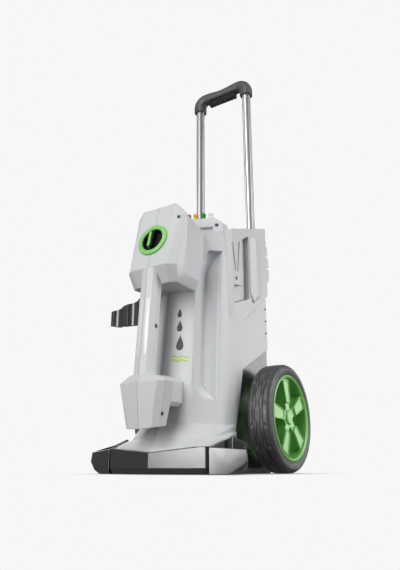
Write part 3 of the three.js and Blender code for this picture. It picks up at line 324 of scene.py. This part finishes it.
SLOT_OF = {part["node"]: part["material_slot"] for part in frame["record"]["subparts"]}
SHELL_EDGES = {    # width of the bevel on the nodes whose own mesh is rounded
    "vent_cowl": 2 * MM, "cord_cleat_left": 2.2 * MM, "cord_cleat_right": 2.2 * MM,
    "lance_socket_left": 1.2 * MM, "lance_socket_right": 1.2 * MM, "gun_holder": 2 * MM,
    "release_button": 1.2 * MM, "tube_collar_left": 0.8 * MM, "tube_collar_right": 0.8 * MM,
    "hub_cap_left": 0.6 * MM, "hub_cap_right": 0.6 * MM, "pump_head": 1.5 * MM,
    "pressure_switch": 1 * MM, "junction_box": 1 * MM, "water_inlet": 0.6 * MM,
    "outlet_fitting": 0.6 * MM,
}
for node in NODES:
    dress(node, SLOT_OF[node], SHELL_EDGES.get(node, 0.0))


# ---------------------------------------------------------------- wheels

TREAD_GROOVE = 2.2 * MM
TREAD_CELLS = 16
TREAD_STEPS = 320
TREAD_COLUMNS = 34
TREAD_LINE = 0.045           # half width of a groove, as a share of the tread's half width
TREAD_OUTER = 0.74
TREAD_SLOT = 0.07            # half length of a shoulder slot, as a share of a cell
CROWN_DROP = 0.4 * MM
SHOULDER = 12 * MM           # from the tread's edge to the tyre's side
BEAD_GAP = 0.3 * MM


def tread_depth(turn, across):
    """Depth of the tread at a turn (0 to 1) and a place across it (-1 to 1)."""
    cell = turn * TREAD_CELLS % 1
    swing = abs(2 * cell - 1)
    inner = 0.2 + 0.24 * min(1, max(0, (swing - 0.25) * 2.4))
    in_line = any(abs(abs(across) - line) < TREAD_LINE for line in (inner, TREAD_OUTER))
    in_slot = abs(across) > TREAD_OUTER and abs(cell - 0.5) < TREAD_SLOT
    return TREAD_GROOVE if in_line or in_slot else 0.0


def make_tyre(side_name):
    side = SIDES[side_name]
    low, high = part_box(f"tyre_{side_name}")
    centre = (low + high) / 2
    radius = (high.z - low.z) / 2
    half = (high.x - low.x) / 2
    rim_low, rim_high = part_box(f"rim_{side_name}")
    bead = (rim_high.z - rim_low.z) / 2 + BEAD_GAP
    # The wall is a row of (radius, depth in mm below the tyre's side): bead, two grooves, shoulder.
    wall = [(bead, 4), (bead + 1.5 * MM, 2.2), (bead + 4 * MM, 1.4), (bead + 5 * MM, 2.0),
            (bead + 6 * MM, 1.2)]
    wall += [(radius - 16 * MM, 0.4), (radius - 15.2 * MM, 1.1), (radius - 14.4 * MM, 0.3)]
    wall += [(radius - 11 * MM, 0.2), (radius - 10.2 * MM, 1.0), (radius - 9.4 * MM, 0.5)]
    wall += [(radius - 6.5 * MM, 1.6), (radius - 4 * MM, 3.6), (radius - 2 * MM, 6.4),
             (radius - 0.7 * MM, 9.5)]
    sidewall = [(r, -half + d * MM) for r, d in wall]
    tread_half = half - SHOULDER
    across = [-1 + 2 * i / TREAD_COLUMNS for i in range(TREAD_COLUMNS + 1)]
    opposite = [(r, -h) for r, h in reversed(sidewall)]
    sections = []
    place = axis_place(centre, (side, 0, 0))
    for step in range(TREAD_STEPS):
        turn = step / TREAD_STEPS
        crown = [(radius - tread_depth(turn, c) - CROWN_DROP * c * c, c * tread_half)
                 for c in across]
        ring = [*sidewall, *crown, *opposite]
        angle = 2 * math.pi * turn
        sections.append([place @ Vector((r * math.cos(angle), r * math.sin(angle), h))
                         for r, h in ring])
    vertices, faces = skin(sections, closed=True)
    wheel = f"wheel_{side_name}"
    piece = make_piece(f"tyre_tread_{side_name}", vertices, faces, "tyre", wheel, 40)
    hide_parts(f"tyre_{side_name}")


SPOKES = 5
SPOKE_TURN = 83
PAD_NEAR = 34 * MM
PAD_FAR = 88 * MM
PAD_HEIGHT = 6 * MM
PAD_HALF_NEAR = 11 * MM
PAD_HALF_FAR = 17 * MM
PAD_SINK = 4 * MM            # from the rim's outermost plane to the pad's lip


def make_spoke_pads(side_name):
    """A raised pad with a lipped edge on each spoke of the rim."""
    side = SIDES[side_name]
    low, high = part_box(f"rim_{side_name}")
    centre = (low + high) / 2
    face = max(abs(low.x), abs(high.x)) - PAD_SINK
    outline = rounded([(-PAD_HALF_NEAR, PAD_NEAR), (PAD_HALF_NEAR, PAD_NEAR),
                       (PAD_HALF_FAR, PAD_FAR), (-PAD_HALF_FAR, PAD_FAR)], 6 * MM, 5)
    heart = (PAD_NEAR + PAD_FAR) / 2
    levels = [(-PAD_HEIGHT, 1.06), (-1.4 * MM, 1.0), (-0.5 * MM, 0.985), (0, 0.94), (0, 0.86),
              (-0.4 * MM, 0.835), (-1.6 * MM, 0.82)]
    for index in range(SPOKES):
        turn = side * math.radians(SPOKE_TURN + index * 360 / SPOKES)
        heart_place = Matrix.Translation((side * face, centre.y, centre.z))
        place = heart_place @ Matrix.Rotation(turn, 4, "X")
        sections = []
        for depth, share in levels:
            inset = (1 - share) * PAD_HALF_FAR
            ring = []
            for across, out in outline:
                reach = heart + (out - heart) * (1 - inset / (heart - PAD_NEAR))
                ring.append(place @ Vector((side * depth, across * share, reach)))
            sections.append(ring)
        vertices, faces = skin(sections)
        wheel = f"wheel_{side_name}"
        make_piece(f"spoke_pad_{side_name}_{index + 1}", vertices, faces, "green", wheel, 30)


for name in SIDES:
    make_tyre(name)
    make_spoke_pads(name)


# ---------------------------------------------------------------- handle

FLUTES = 8
FLUTE_DEPTH = 0.9 * MM
FLUTE_SHARE = 0.34           # how much of a flute's pitch its cut takes up
TUBE_POINTS = 96
TUBE_WALL = 1.5 * MM


def fluted_ring(radius, centre, z):
    """Section of a tube drawn with shallow lengthwise flutes."""
    ring = []
    for i in range(TUBE_POINTS):
        turn = 2 * math.pi * i / TUBE_POINTS
        wave = abs((turn * FLUTES / (2 * math.pi)) % 1 - 0.5) * 2
        cut = FLUTE_DEPTH * max(0.0, 1 - wave / FLUTE_SHARE)
        r = radius - cut
        ring.append(Vector((centre.x + r * math.cos(turn), centre.y + r * math.sin(turn), z)))
    return ring


def make_tube(side_name):
    low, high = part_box(f"handle_tube_{side_name}")
    centre = (low + high) / 2
    radius = (high.x - low.x) / 2
    bore = radius - TUBE_WALL
    outside = [fluted_ring(radius, centre, z) for z in (low.z, high.z)]
    inside = [[centre.xy.to_3d() + (v - centre).xy.normalized().to_3d() * bore for v in ring]
              for ring in outside]
    for ring, z in zip(inside, (low.z, high.z)):
        for v in ring:
            v.z = z
    sections = [outside[0], outside[1], inside[1], inside[0]]
    vertices, faces = skin(sections, closed=True)
    piece = make_piece(f"fluted_tube_{side_name}", vertices, faces, "tube", "handle", 25)
    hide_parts(f"handle_tube_{side_name}")


for name in SIDES:
    make_tube(name)


BUTTON_TRAVEL = 4 * MM
POCKET_ROOM = Vector((0.6, 0.6, 0.4)) * MM


def carve(piece, low, high):
    """Cuts a box out of a piece's mesh."""
    corners = [(x, y, z) for z in (low.z, high.z)
               for x, y in ((low.x, low.y), (high.x, low.y), (high.x, high.y), (low.x, high.y))]
    vertices, faces = skin([corners[:4], corners[4:]])
    mesh = bpy.data.meshes.new("cutter")
    mesh.from_pydata(vertices, [], faces)
    cutter = bpy.data.objects.new("cutter", mesh)
    bpy.context.scene.collection.objects.link(cutter)
    modifier = piece.modifiers.new("pocket", "BOOLEAN")
    modifier.object = cutter
    carved = piece.evaluated_get(bpy.context.evaluated_depsgraph_get())
    piece.data = bpy.data.meshes.new_from_object(carved)
    piece.modifiers.clear()
    bpy.data.objects.remove(cutter)
    piece.data.set_sharp_from_angle(angle=math.radians(35))


GRIP_SIDES = 32
GRIP_SQUARE = 2.6            # exponent of the section: 2 is an ellipse, more is squarer
ELBOW = 24 * MM
ELBOW_STEPS = 10             # degrees
BAR_STEPS = 12
BAR_DROP = 16.5 * MM         # from the grip's top to the middle of its bar


def make_grip():
    low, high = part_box("grip")
    tube_x = middle("handle_tube_left").x
    y = middle("grip").y
    sleeve = (high.y - low.y) / 2
    bar = high.z - BAR_DROP
    # Each station is (x, z, lean in degrees, half width, height over width), from the +X end.
    stations = [
        (tube_x, low.z, 90, sleeve - 1.2 * MM, 1),
        (tube_x, low.z + 1.2 * MM, 90, sleeve, 1),
        (tube_x, low.z + 8 * MM, 90, sleeve, 1),
        (tube_x, low.z + 8.6 * MM, 90, sleeve - 0.8 * MM, 1),
        (tube_x, low.z + 9.6 * MM, 90, sleeve - 0.8 * MM, 1),
        (tube_x, low.z + 10.2 * MM, 90, sleeve, 1),
    ]
    for angle in range(0, 91, ELBOW_STEPS):
        turn = math.radians(angle)
        x = tube_x - ELBOW * (1 - math.cos(turn))
        z = bar - ELBOW * (1 - math.sin(turn))
        width = sleeve - 1.4 * MM * angle / 90
        stations.append((x, z, 90 + angle, width, 1 - 0.06 * angle / 90))
    straight = tube_x - ELBOW
    for step in range(1, BAR_STEPS + 1):
        x = straight * (1 - step / BAR_STEPS)
        dip = math.sin(math.pi / 2 * step / BAR_STEPS) ** 2
        width = sleeve - (1.4 + 1.2 * dip) * MM
        stations.append((x, bar - 2.2 * MM * dip, 180, width, 0.94 - 0.1 * dip))
    opposite = [(-x, z, 360 - lean, width, flat)
                for x, z, lean, width, flat in reversed(stations[:-1])]
    sections = []
    for x, z, lean, width, flat in stations + opposite:
        along = Vector((math.cos(math.radians(lean)), 0, math.sin(math.radians(lean))))
        up = Vector((-along.z, 0, along.x))
        ring = []
        for i in range(GRIP_SIDES):
            turn = 2 * math.pi * i / GRIP_SIDES
            across, rise = math.cos(turn), math.sin(turn)
            corner = abs(across) ** GRIP_SQUARE + abs(rise) ** GRIP_SQUARE
            square = corner ** (-1 / GRIP_SQUARE)
            ring.append(Vector((x, y, z)) + Vector((0, across * square * width, 0))
                        + up * rise * square * width * flat)
        sections.append(ring)
    vertices, faces = skin(sections)
    piece = make_piece("moulded_grip", vertices, faces, "grip", "handle", 35)
    button_low, button_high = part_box("release_button")
    pressed = Vector((0, 0, BUTTON_TRAVEL))
    carve(piece, button_low - POCKET_ROOM, button_high + POCKET_ROOM + pressed)
    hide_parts("grip")


make_grip()


# ---------------------------------------------------------------- selector

RING_LOW, RING_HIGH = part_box("selector_ring")
FACE_BACK = 38 * MM          # how far the head's front face leans back over its height
FACE_RISE = 163 * MM
FACE_TILT = math.atan2(FACE_BACK, FACE_RISE)
FACE_OUT = Vector((0, -math.cos(FACE_TILT), math.sin(FACE_TILT)))
RING_RADIUS = (RING_HIGH.x - RING_LOW.x) / 2
RING_SINK = 2.65 * MM        # from the middle of the CAD ring's box down to the head's face
DISH_SEAT = 28.5 * MM
KNOB_PROUD = 9 * MM


def face_place():
    """Puts a piece made about +Z on the head's slanted face, at the middle of the selector."""
    centre = (RING_LOW + RING_HIGH) / 2 - FACE_OUT * RING_SINK
    across = Vector((1, 0, 0))
    up = FACE_OUT.cross(across)
    turn = Matrix((across, up, FACE_OUT)).transposed().to_4x4()
    return Matrix.Translation(centre) @ turn


ON_FACE = face_place()


def make_selector_ring():
    profile = [
        (DISH_SEAT, 0.3 * MM), (RING_RADIUS - 1 * MM, 0.3 * MM), (RING_RADIUS, 1.3 * MM),
        (RING_RADIUS, 2.8 * MM), (RING_RADIUS - 0.5 * MM, 4 * MM),
        (RING_RADIUS - 1.6 * MM, 4.8 * MM), (RING_RADIUS - 3 * MM, 5 * MM),
        (DISH_SEAT + 4 * MM, 4.6 * MM), (DISH_SEAT + 3.4 * MM, 5 * MM),
        (DISH_SEAT + 1.4 * MM, 5 * MM), (DISH_SEAT + 0.4 * MM, 4.4 * MM), (DISH_SEAT, 3.4 * MM),
    ]
    vertices, faces = spun(profile, 128, ON_FACE)
    piece = make_piece("selector_trim_ring", vertices, faces, "green", "machine", 40)
    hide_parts("selector_ring")


def make_flat(name, outline, low, high, slot, body, place):
    """A plate with an outline in its own X and Y, between two heights."""
    sections = [[place @ Vector((x, y, h)) for x, y in outline] for h in (low, high)]
    vertices, faces = skin(sections)
    make_piece(name, vertices, faces, slot, body, 30)


POINTER_REACH = 19.6 * MM
POINTER_HALF = 3.6 * MM
POINTER_MIDDLE = -4 * MM
POINTER_ROOT = -4.3 * MM


def make_pointer():
    """The green cap along one flank of the knob's bar, with rounded ends and a crowned top."""
    left = POINTER_MIDDLE - POINTER_HALF
    right = POINTER_MIDDLE + POINTER_HALF
    outline = rounded([(left, -POINTER_REACH), (right, -POINTER_REACH),
                       (right, POINTER_REACH), (left, POINTER_REACH)], 2.6 * MM, 6)
    levels = [(POINTER_ROOT, 1.0), (KNOB_PROUD, 1.0), (KNOB_PROUD + 0.5 * MM, 0.97),
              (KNOB_PROUD + 0.8 * MM, 0.86)]
    sections = []
    for height, share in levels:
        ring = []
        for x, y in outline:
            narrowed = POINTER_MIDDLE + (x - POINTER_MIDDLE) * share
            ring.append(ON_FACE @ Vector((narrowed, y * (0.9 + 0.1 * share), height)))
        sections.append(ring)
    vertices, faces = skin(sections)
    piece = make_piece("knob_pointer_cap", vertices, faces, "green", "selector", 35)
    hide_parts("selector_pointer")


TICKS = 13
TICK_FIRST = -120
TICK_PITCH = 20
TICK_HALF = 0.4 * MM
TICK_FAR = 28 * MM
TICK_LONG = 26 * MM          # where a long tick starts
TICK_SHORT = 26.7 * MM
DISH_RIM = 3.02 * MM         # just over the dish's rim, above the head's face
DISH_PRINT = 3.12 * MM


def make_dial_ticks():
    """Printed marks on the dish's rim, every third one longer."""
    for index in range(TICKS):
        turn = Matrix.Rotation(math.radians(TICK_FIRST + index * TICK_PITCH), 4, "Z")
        near = TICK_LONG if index % 3 == 0 else TICK_SHORT
        outline = [(-TICK_HALF, near), (TICK_HALF, near), (TICK_HALF, TICK_FAR),
                   (-TICK_HALF, TICK_FAR)]
        make_flat(f"dial_tick_{index + 1}", outline, DISH_RIM, DISH_PRINT, "print_pale", "machine",
                  ON_FACE @ turn)


make_selector_ring()
make_pointer()
make_dial_ticks()


# ---------------------------------------------------------------- screws

SCREW_SIDES = 24
SCREW_RADIUS = 3.2 * MM
SCREW_HEIGHT = 2.7 * MM
CADDY_SCREWS = ((-74, 39.1), (-16, 14.7), (16, 14.7), (74, 39.1))   # mm across, mm behind its front
CADDY_SCREW_DROP = 22 * MM
POD_SCREW = (112.3 * MM, -15 * MM, 449 * MM)    # on the left pod


def make_screw(name, foot, direction, height=SCREW_HEIGHT):
    """A domed screw head with a hexagon socket, standing on its foot."""
    place = axis_place(foot, direction)
    radius = SCREW_RADIUS
    socket = radius * 0.52
    hexagon = []
    for i in range(SCREW_SIDES):
        turn = 2 * math.pi * i / SCREW_SIDES
        flat = math.cos(math.pi / 6) / math.cos((turn % (math.pi / 3)) - math.pi / 6)
        hexagon.append((flat * socket, turn))
    rings = []
    for r, h in ((radius, 0), (radius, height * 0.62), (radius * 0.93, height * 0.86),
                 (radius * 0.74, height)):
        rings.append([(r, 2 * math.pi * i / SCREW_SIDES, h) for i in range(SCREW_SIDES)])
    for h in (height, height * 0.3):
        rings.append([(r, turn, h) for r, turn in hexagon])
    sections = [[place @ Vector((r * math.cos(t), r * math.sin(t), h)) for r, t, h in ring]
                for ring in rings]
    vertices, faces = skin(sections)
    return make_piece(name, vertices, faces, "black", "machine", 30)


def make_screws():
    for node in ("head_screw", "column_screw", "boot_screw"):
        low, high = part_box(node)
        centre = (low + high) / 2
        foot = (low.x, centre.y, centre.z)
        piece = make_screw(f"{node}_socket", foot, (1, 0, 0), high.x - low.x)
        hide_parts(node)
    caddy_low, caddy_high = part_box("nozzle_caddy")
    for index, (x, depth) in enumerate(CADDY_SCREWS):
        foot = (x * MM, caddy_low.y + depth * MM, caddy_high.z - CADDY_SCREW_DROP)
        make_screw(f"caddy_screw_{index + 1}", foot, (0, -1, 0))
    for name, side in SIDES.items():
        x, y, z = POD_SCREW
        make_screw(f"pod_screw_{name}", (side * x, y, z), (side, 0, 0))


make_screws()


# ---------------------------------------------------------------- printed graphic

GRAPHIC_SEAT = 0.05 * MM
GRAPHIC_PROUD = 0.25 * MM
GRAPHIC_FRONT = -149 * MM    # between the carry column and the casing's front face
DROPS = ((26, 350, 11), (28, 319, 14), (31, 279, 18))    # mm: across, up, size
RIPPLES = (0.246, 0.238)
RIPPLE_START = 0.016
RIPPLE_LONG = 0.034
RIPPLE_HALF = 0.0019
RIPPLE_WAVE = 0.0016
RIPPLE_STEPS = 24
DROP_STEPS = 40


def front_face(x, z, proud):
    """Point just off the casing's front face, at a distance from the centre plane and a height."""
    start = Vector((x, GRAPHIC_FRONT, z))
    _, point, normal, _ = NODES["casing_left"].ray_cast(start, Vector((0, 1, 0)))
    return point + normal * proud


def make_print(name, outline, slot):
    back = [front_face(x, z, GRAPHIC_SEAT) for x, z in outline]
    front = [front_face(x, z, GRAPHIC_PROUD) for x, z in outline]
    vertices, faces = skin([back, front])
    make_piece(name, vertices, faces, slot, "machine", 30)


def drop_outline(x, z, size):
    """A water drop with its point upwards."""
    outline = []
    for i in range(DROP_STEPS):
        turn = 2 * math.pi * i / DROP_STEPS
        taper = math.sin(turn / 2) ** 1.6
        outline.append((x + size * 0.62 * math.sin(turn) * taper, z + size * math.cos(turn)))
    return outline


def make_graphic():
    """Three dark water drops, and a lime ripple below them."""
    for index, place in enumerate(DROPS):
        x, z, size = (value / 1000 for value in place)
        make_print(f"drop_print_{index + 1}", drop_outline(x, z, size), "print_dark")
    for index, z in enumerate(RIPPLES):
        upper = []
        lower = []
        for i in range(RIPPLE_STEPS + 1):
            share = i / RIPPLE_STEPS
            x = RIPPLE_START + RIPPLE_LONG * share
            wave = RIPPLE_WAVE * math.sin(4 * math.pi * share)
            upper.append((x, z + RIPPLE_HALF + wave))
            lower.append((x, z - RIPPLE_HALF + wave))
        make_print(f"ripple_print_{index + 1}", upper + lower[::-1], "print_lime")


make_graphic()


# ---------------------------------------------------------------- panels on the carry column

PANEL_LOW = 238 * MM
PANEL_HIGH = 364 * MM
PANEL_INNER = 4.5 * MM
PANEL_OUTER = 14.2 * MM
PANEL_INSET = 0.5 * MM
COLUMN_RIDGE = -0.233        # y of the ridge at COLUMN_FOOT
COLUMN_FOOT = 0.18
COLUMN_LEAN = 0.07364
COLUMN_SLANT = 0.2
COLUMN_NORMAL = (0.196, -0.98, 0.072)


def column_face(side, x, z, proud):
    """Point over the column's front facet, which leans back with height and away from its ridge."""
    y = COLUMN_RIDGE + COLUMN_LEAN * (z - COLUMN_FOOT) + COLUMN_SLANT * x
    across, forward, up = COLUMN_NORMAL
    return Vector((side * x, y, z)) + Vector((side * across, forward, up)) * proud


def make_column_panels():
    """A thin glossy panel set on each front facet of the carry column."""
    wide, narrow = (
        rounded([(PANEL_INNER + inset, PANEL_LOW + inset), (PANEL_OUTER - inset, PANEL_LOW + inset),
                 (PANEL_OUTER - inset, PANEL_HIGH - inset),
                 (PANEL_INNER + inset, PANEL_HIGH - inset)], radius)
        for inset, radius in ((0.0, 2.4 * MM), (PANEL_INSET, 2 * MM)))
    levels = ((wide, -0.4 * MM), (wide, 0.3 * MM), (narrow, 0.6 * MM))
    for name, side in SIDES.items():
        sections = [[column_face(side, x, z, proud) for x, z in outline]
                    for outline, proud in levels]
        vertices, faces = skin(sections)
        piece = make_piece(f"column_panel_{name}", vertices, faces, "print_gloss", "machine",
                           30)


make_column_panels()


# ---------------------------------------------------------------- nozzles

NOZZLE_STEPS = 48
NOZZLE_TALL = 18 * MM        # the part that stands above the caddy
RIB_DEPTH = 0.5 * MM


def make_nozzle(node):
    low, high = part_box(node)
    centre = (low + high) / 2
    radius = (high.x - low.x) / 2
    stem = radius - 2 * MM
    top = high.z
    skirt = top - NOZZLE_TALL
    profile = [
        (stem, low.z), (stem, skirt), (radius, skirt + 0.4 * MM), (radius, skirt + 6 * MM),
        (stem, skirt + 9 * MM), (radius, skirt + 11.5 * MM), (radius, top - 1.6 * MM),
        (stem + 0.6 * MM, top), (1.6 * MM, top), (1.2 * MM, top - 4 * MM),
        (0.3 * MM, top - 4.2 * MM), (0.3 * MM, low.z),
    ]
    sections = []
    for step in range(NOZZLE_STEPS):
        turn = 2 * math.pi * step / NOZZLE_STEPS
        rib = RIB_DEPTH if step % 4 < 2 else 0.0
        ring = []
        for r, z in profile:
            ribbed = r >= radius - 0.01 * MM and z < top - 2 * MM
            reach = r - (rib if ribbed else 0.0)
            ring.append(Vector((centre.x + reach * math.cos(turn),
                                centre.y + reach * math.sin(turn), z)))
        sections.append(ring)
    vertices, faces = skin(sections, closed=True)
    colour = node.replace("nozzle_", "")
    piece = make_piece(f"spray_tip_{colour}", vertices, faces, SLOT_OF[node], f"spray_{colour}",
                       30)
    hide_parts(node)


for colour in ("black", "red", "yellow", "green", "white"):
    make_nozzle(f"nozzle_{colour}")


# ---------------------------------------------------------------- camera, lights and floor

VIEW_TURN = math.radians(32.402)
VIEW_RISE = math.radians(18.506)
VIEW_FROM = (0.7106, -1.1140, 0.0145)
SENSOR = 36.0                # mm
FOCAL_LENGTH = 34.3263158    # mm


def add_camera():
    data = bpy.data.cameras.new("camera")
    data.sensor_width = SENSOR
    data.lens = FOCAL_LENGTH
    data.clip_start = 0.01
    camera = bpy.data.objects.new("camera", data)
    camera.location = VIEW_FROM
    camera.rotation_euler = (math.pi / 2 + VIEW_RISE, 0, VIEW_TURN)
    bpy.context.scene.collection.objects.link(camera)
    bpy.context.scene.camera = camera


def add_softbox(name, place, target, size, radiance, gloss_only):
    """A rectangular softbox of a given radiance, facing a target and hidden from the camera."""
    data = bpy.data.lights.new(name, "AREA")
    data.shape = "RECTANGLE"
    data.size, data.size_y = size
    data.energy = radiance * math.pi * size[0] * size[1]
    light = bpy.data.objects.new(name, data)
    light.location = place
    aim = Vector(target) - Vector(place)
    light.rotation_euler = aim.to_track_quat("-Z", "Y").to_euler()
    light.visible_camera = False
    light.visible_diffuse = not gloss_only
    bpy.context.scene.collection.objects.link(light)


BACKDROP = (0.93, 0.93, 0.93)
FILL = (0.17, 0.172, 0.176)
FLOOR_BOUNCE = 0.13
FLOOR_HALF = 12
FLOOR_SINK = 0.3 * MM        # keeps the floor clear of the tray's underside
SHADOW_REACH = 0.12
SHADOW_DARKEST = 0.02


def add_world():
    world = bpy.data.worlds.new("studio")
    world.use_nodes = True
    tree = world.node_tree
    backdrop = tree.nodes["Background"]
    backdrop.inputs["Color"].default_value = (*BACKDROP, 1)
    fill = tree.nodes.new("ShaderNodeBackground")
    fill.inputs["Color"].default_value = (*FILL, 1)
    rays = tree.nodes.new("ShaderNodeLightPath")
    mix = tree.nodes.new("ShaderNodeMixShader")
    tree.links.new(rays.outputs["Is Camera Ray"], mix.inputs["Fac"])
    tree.links.new(fill.outputs[0], mix.inputs[1])
    tree.links.new(backdrop.outputs[0], mix.inputs[2])
    tree.links.new(mix.outputs[0], tree.nodes["World Output"].inputs["Surface"])
    bpy.context.scene.world = world


def add_floor():
    """A pale floor as bright as the backdrop, darkened where the machine shuts the light out."""
    material = bpy.data.materials.new("floor_paper")
    material.use_nodes = True
    tree = material.node_tree
    shade = tree.nodes.new("ShaderNodeAmbientOcclusion")
    shade.samples = 8
    shade.inputs["Distance"].default_value = SHADOW_REACH
    ramp = tree.nodes.new("ShaderNodeMapRange")
    ramp.inputs["To Min"].default_value = SHADOW_DARKEST
    ramp.inputs["To Max"].default_value = BACKDROP[0]
    seen = tree.nodes.new("ShaderNodeEmission")
    bounced = tree.nodes.new("ShaderNodeEmission")
    bounced.inputs["Strength"].default_value = FLOOR_BOUNCE
    rays = tree.nodes.new("ShaderNodeLightPath")
    mix = tree.nodes.new("ShaderNodeMixShader")
    tree.links.new(shade.outputs["AO"], ramp.inputs["Value"])
    tree.links.new(ramp.outputs["Result"], seen.inputs["Color"])
    tree.links.new(rays.outputs["Is Camera Ray"], mix.inputs["Fac"])
    tree.links.new(bounced.outputs[0], mix.inputs[1])
    tree.links.new(seen.outputs[0], mix.inputs[2])
    tree.links.new(mix.outputs[0], tree.nodes["Material Output"].inputs["Surface"])
    mesh = bpy.data.meshes.new("floor")
    far = FLOOR_HALF
    corners = [(-far, -far, 0), (far, -far, 0), (far, far, 0), (-far, far, 0)]
    mesh.from_pydata(corners, [], [(0, 1, 2, 3)])
    mesh.materials.append(material)
    floor = bpy.data.objects.new("floor", mesh)
    floor.location.z = -FLOOR_SINK
    bpy.context.scene.collection.objects.link(floor)


# Each softbox: its place, its target, its width and height, its radiance, and whether it shows
# in reflections only.
SOFTBOXES = {
    "key": ((0.0, -2.4, 1.5), (0, 0, 1.0), (1.1, 3.1), 6.2, False),
    "side": ((2.3, 0.8, 1.1), (0.1, 0.1, 0.6), (1.3, 2.6), 4.6, False),
    "low": ((-0.1, -2.3, 0.35), (0.1, -0.15, 0.05), (1.0, 0.8), 6.0, True),
    "rim_gloss": ((1.45, 2.1, 0.55), (0.19, 0.11, 0.2), (1.6, 1.5), 2.5, True),
    "rear": ((-2.1, 1.7, 1.2), (0, 0, 0.4), (1.6, 1.8), 2.2, False),
}

add_camera()
add_world()
add_floor()
for name, setting in SOFTBOXES.items():
    add_softbox(name, *setting)
bpy.context.scene.view_settings.view_transform = "Standard"
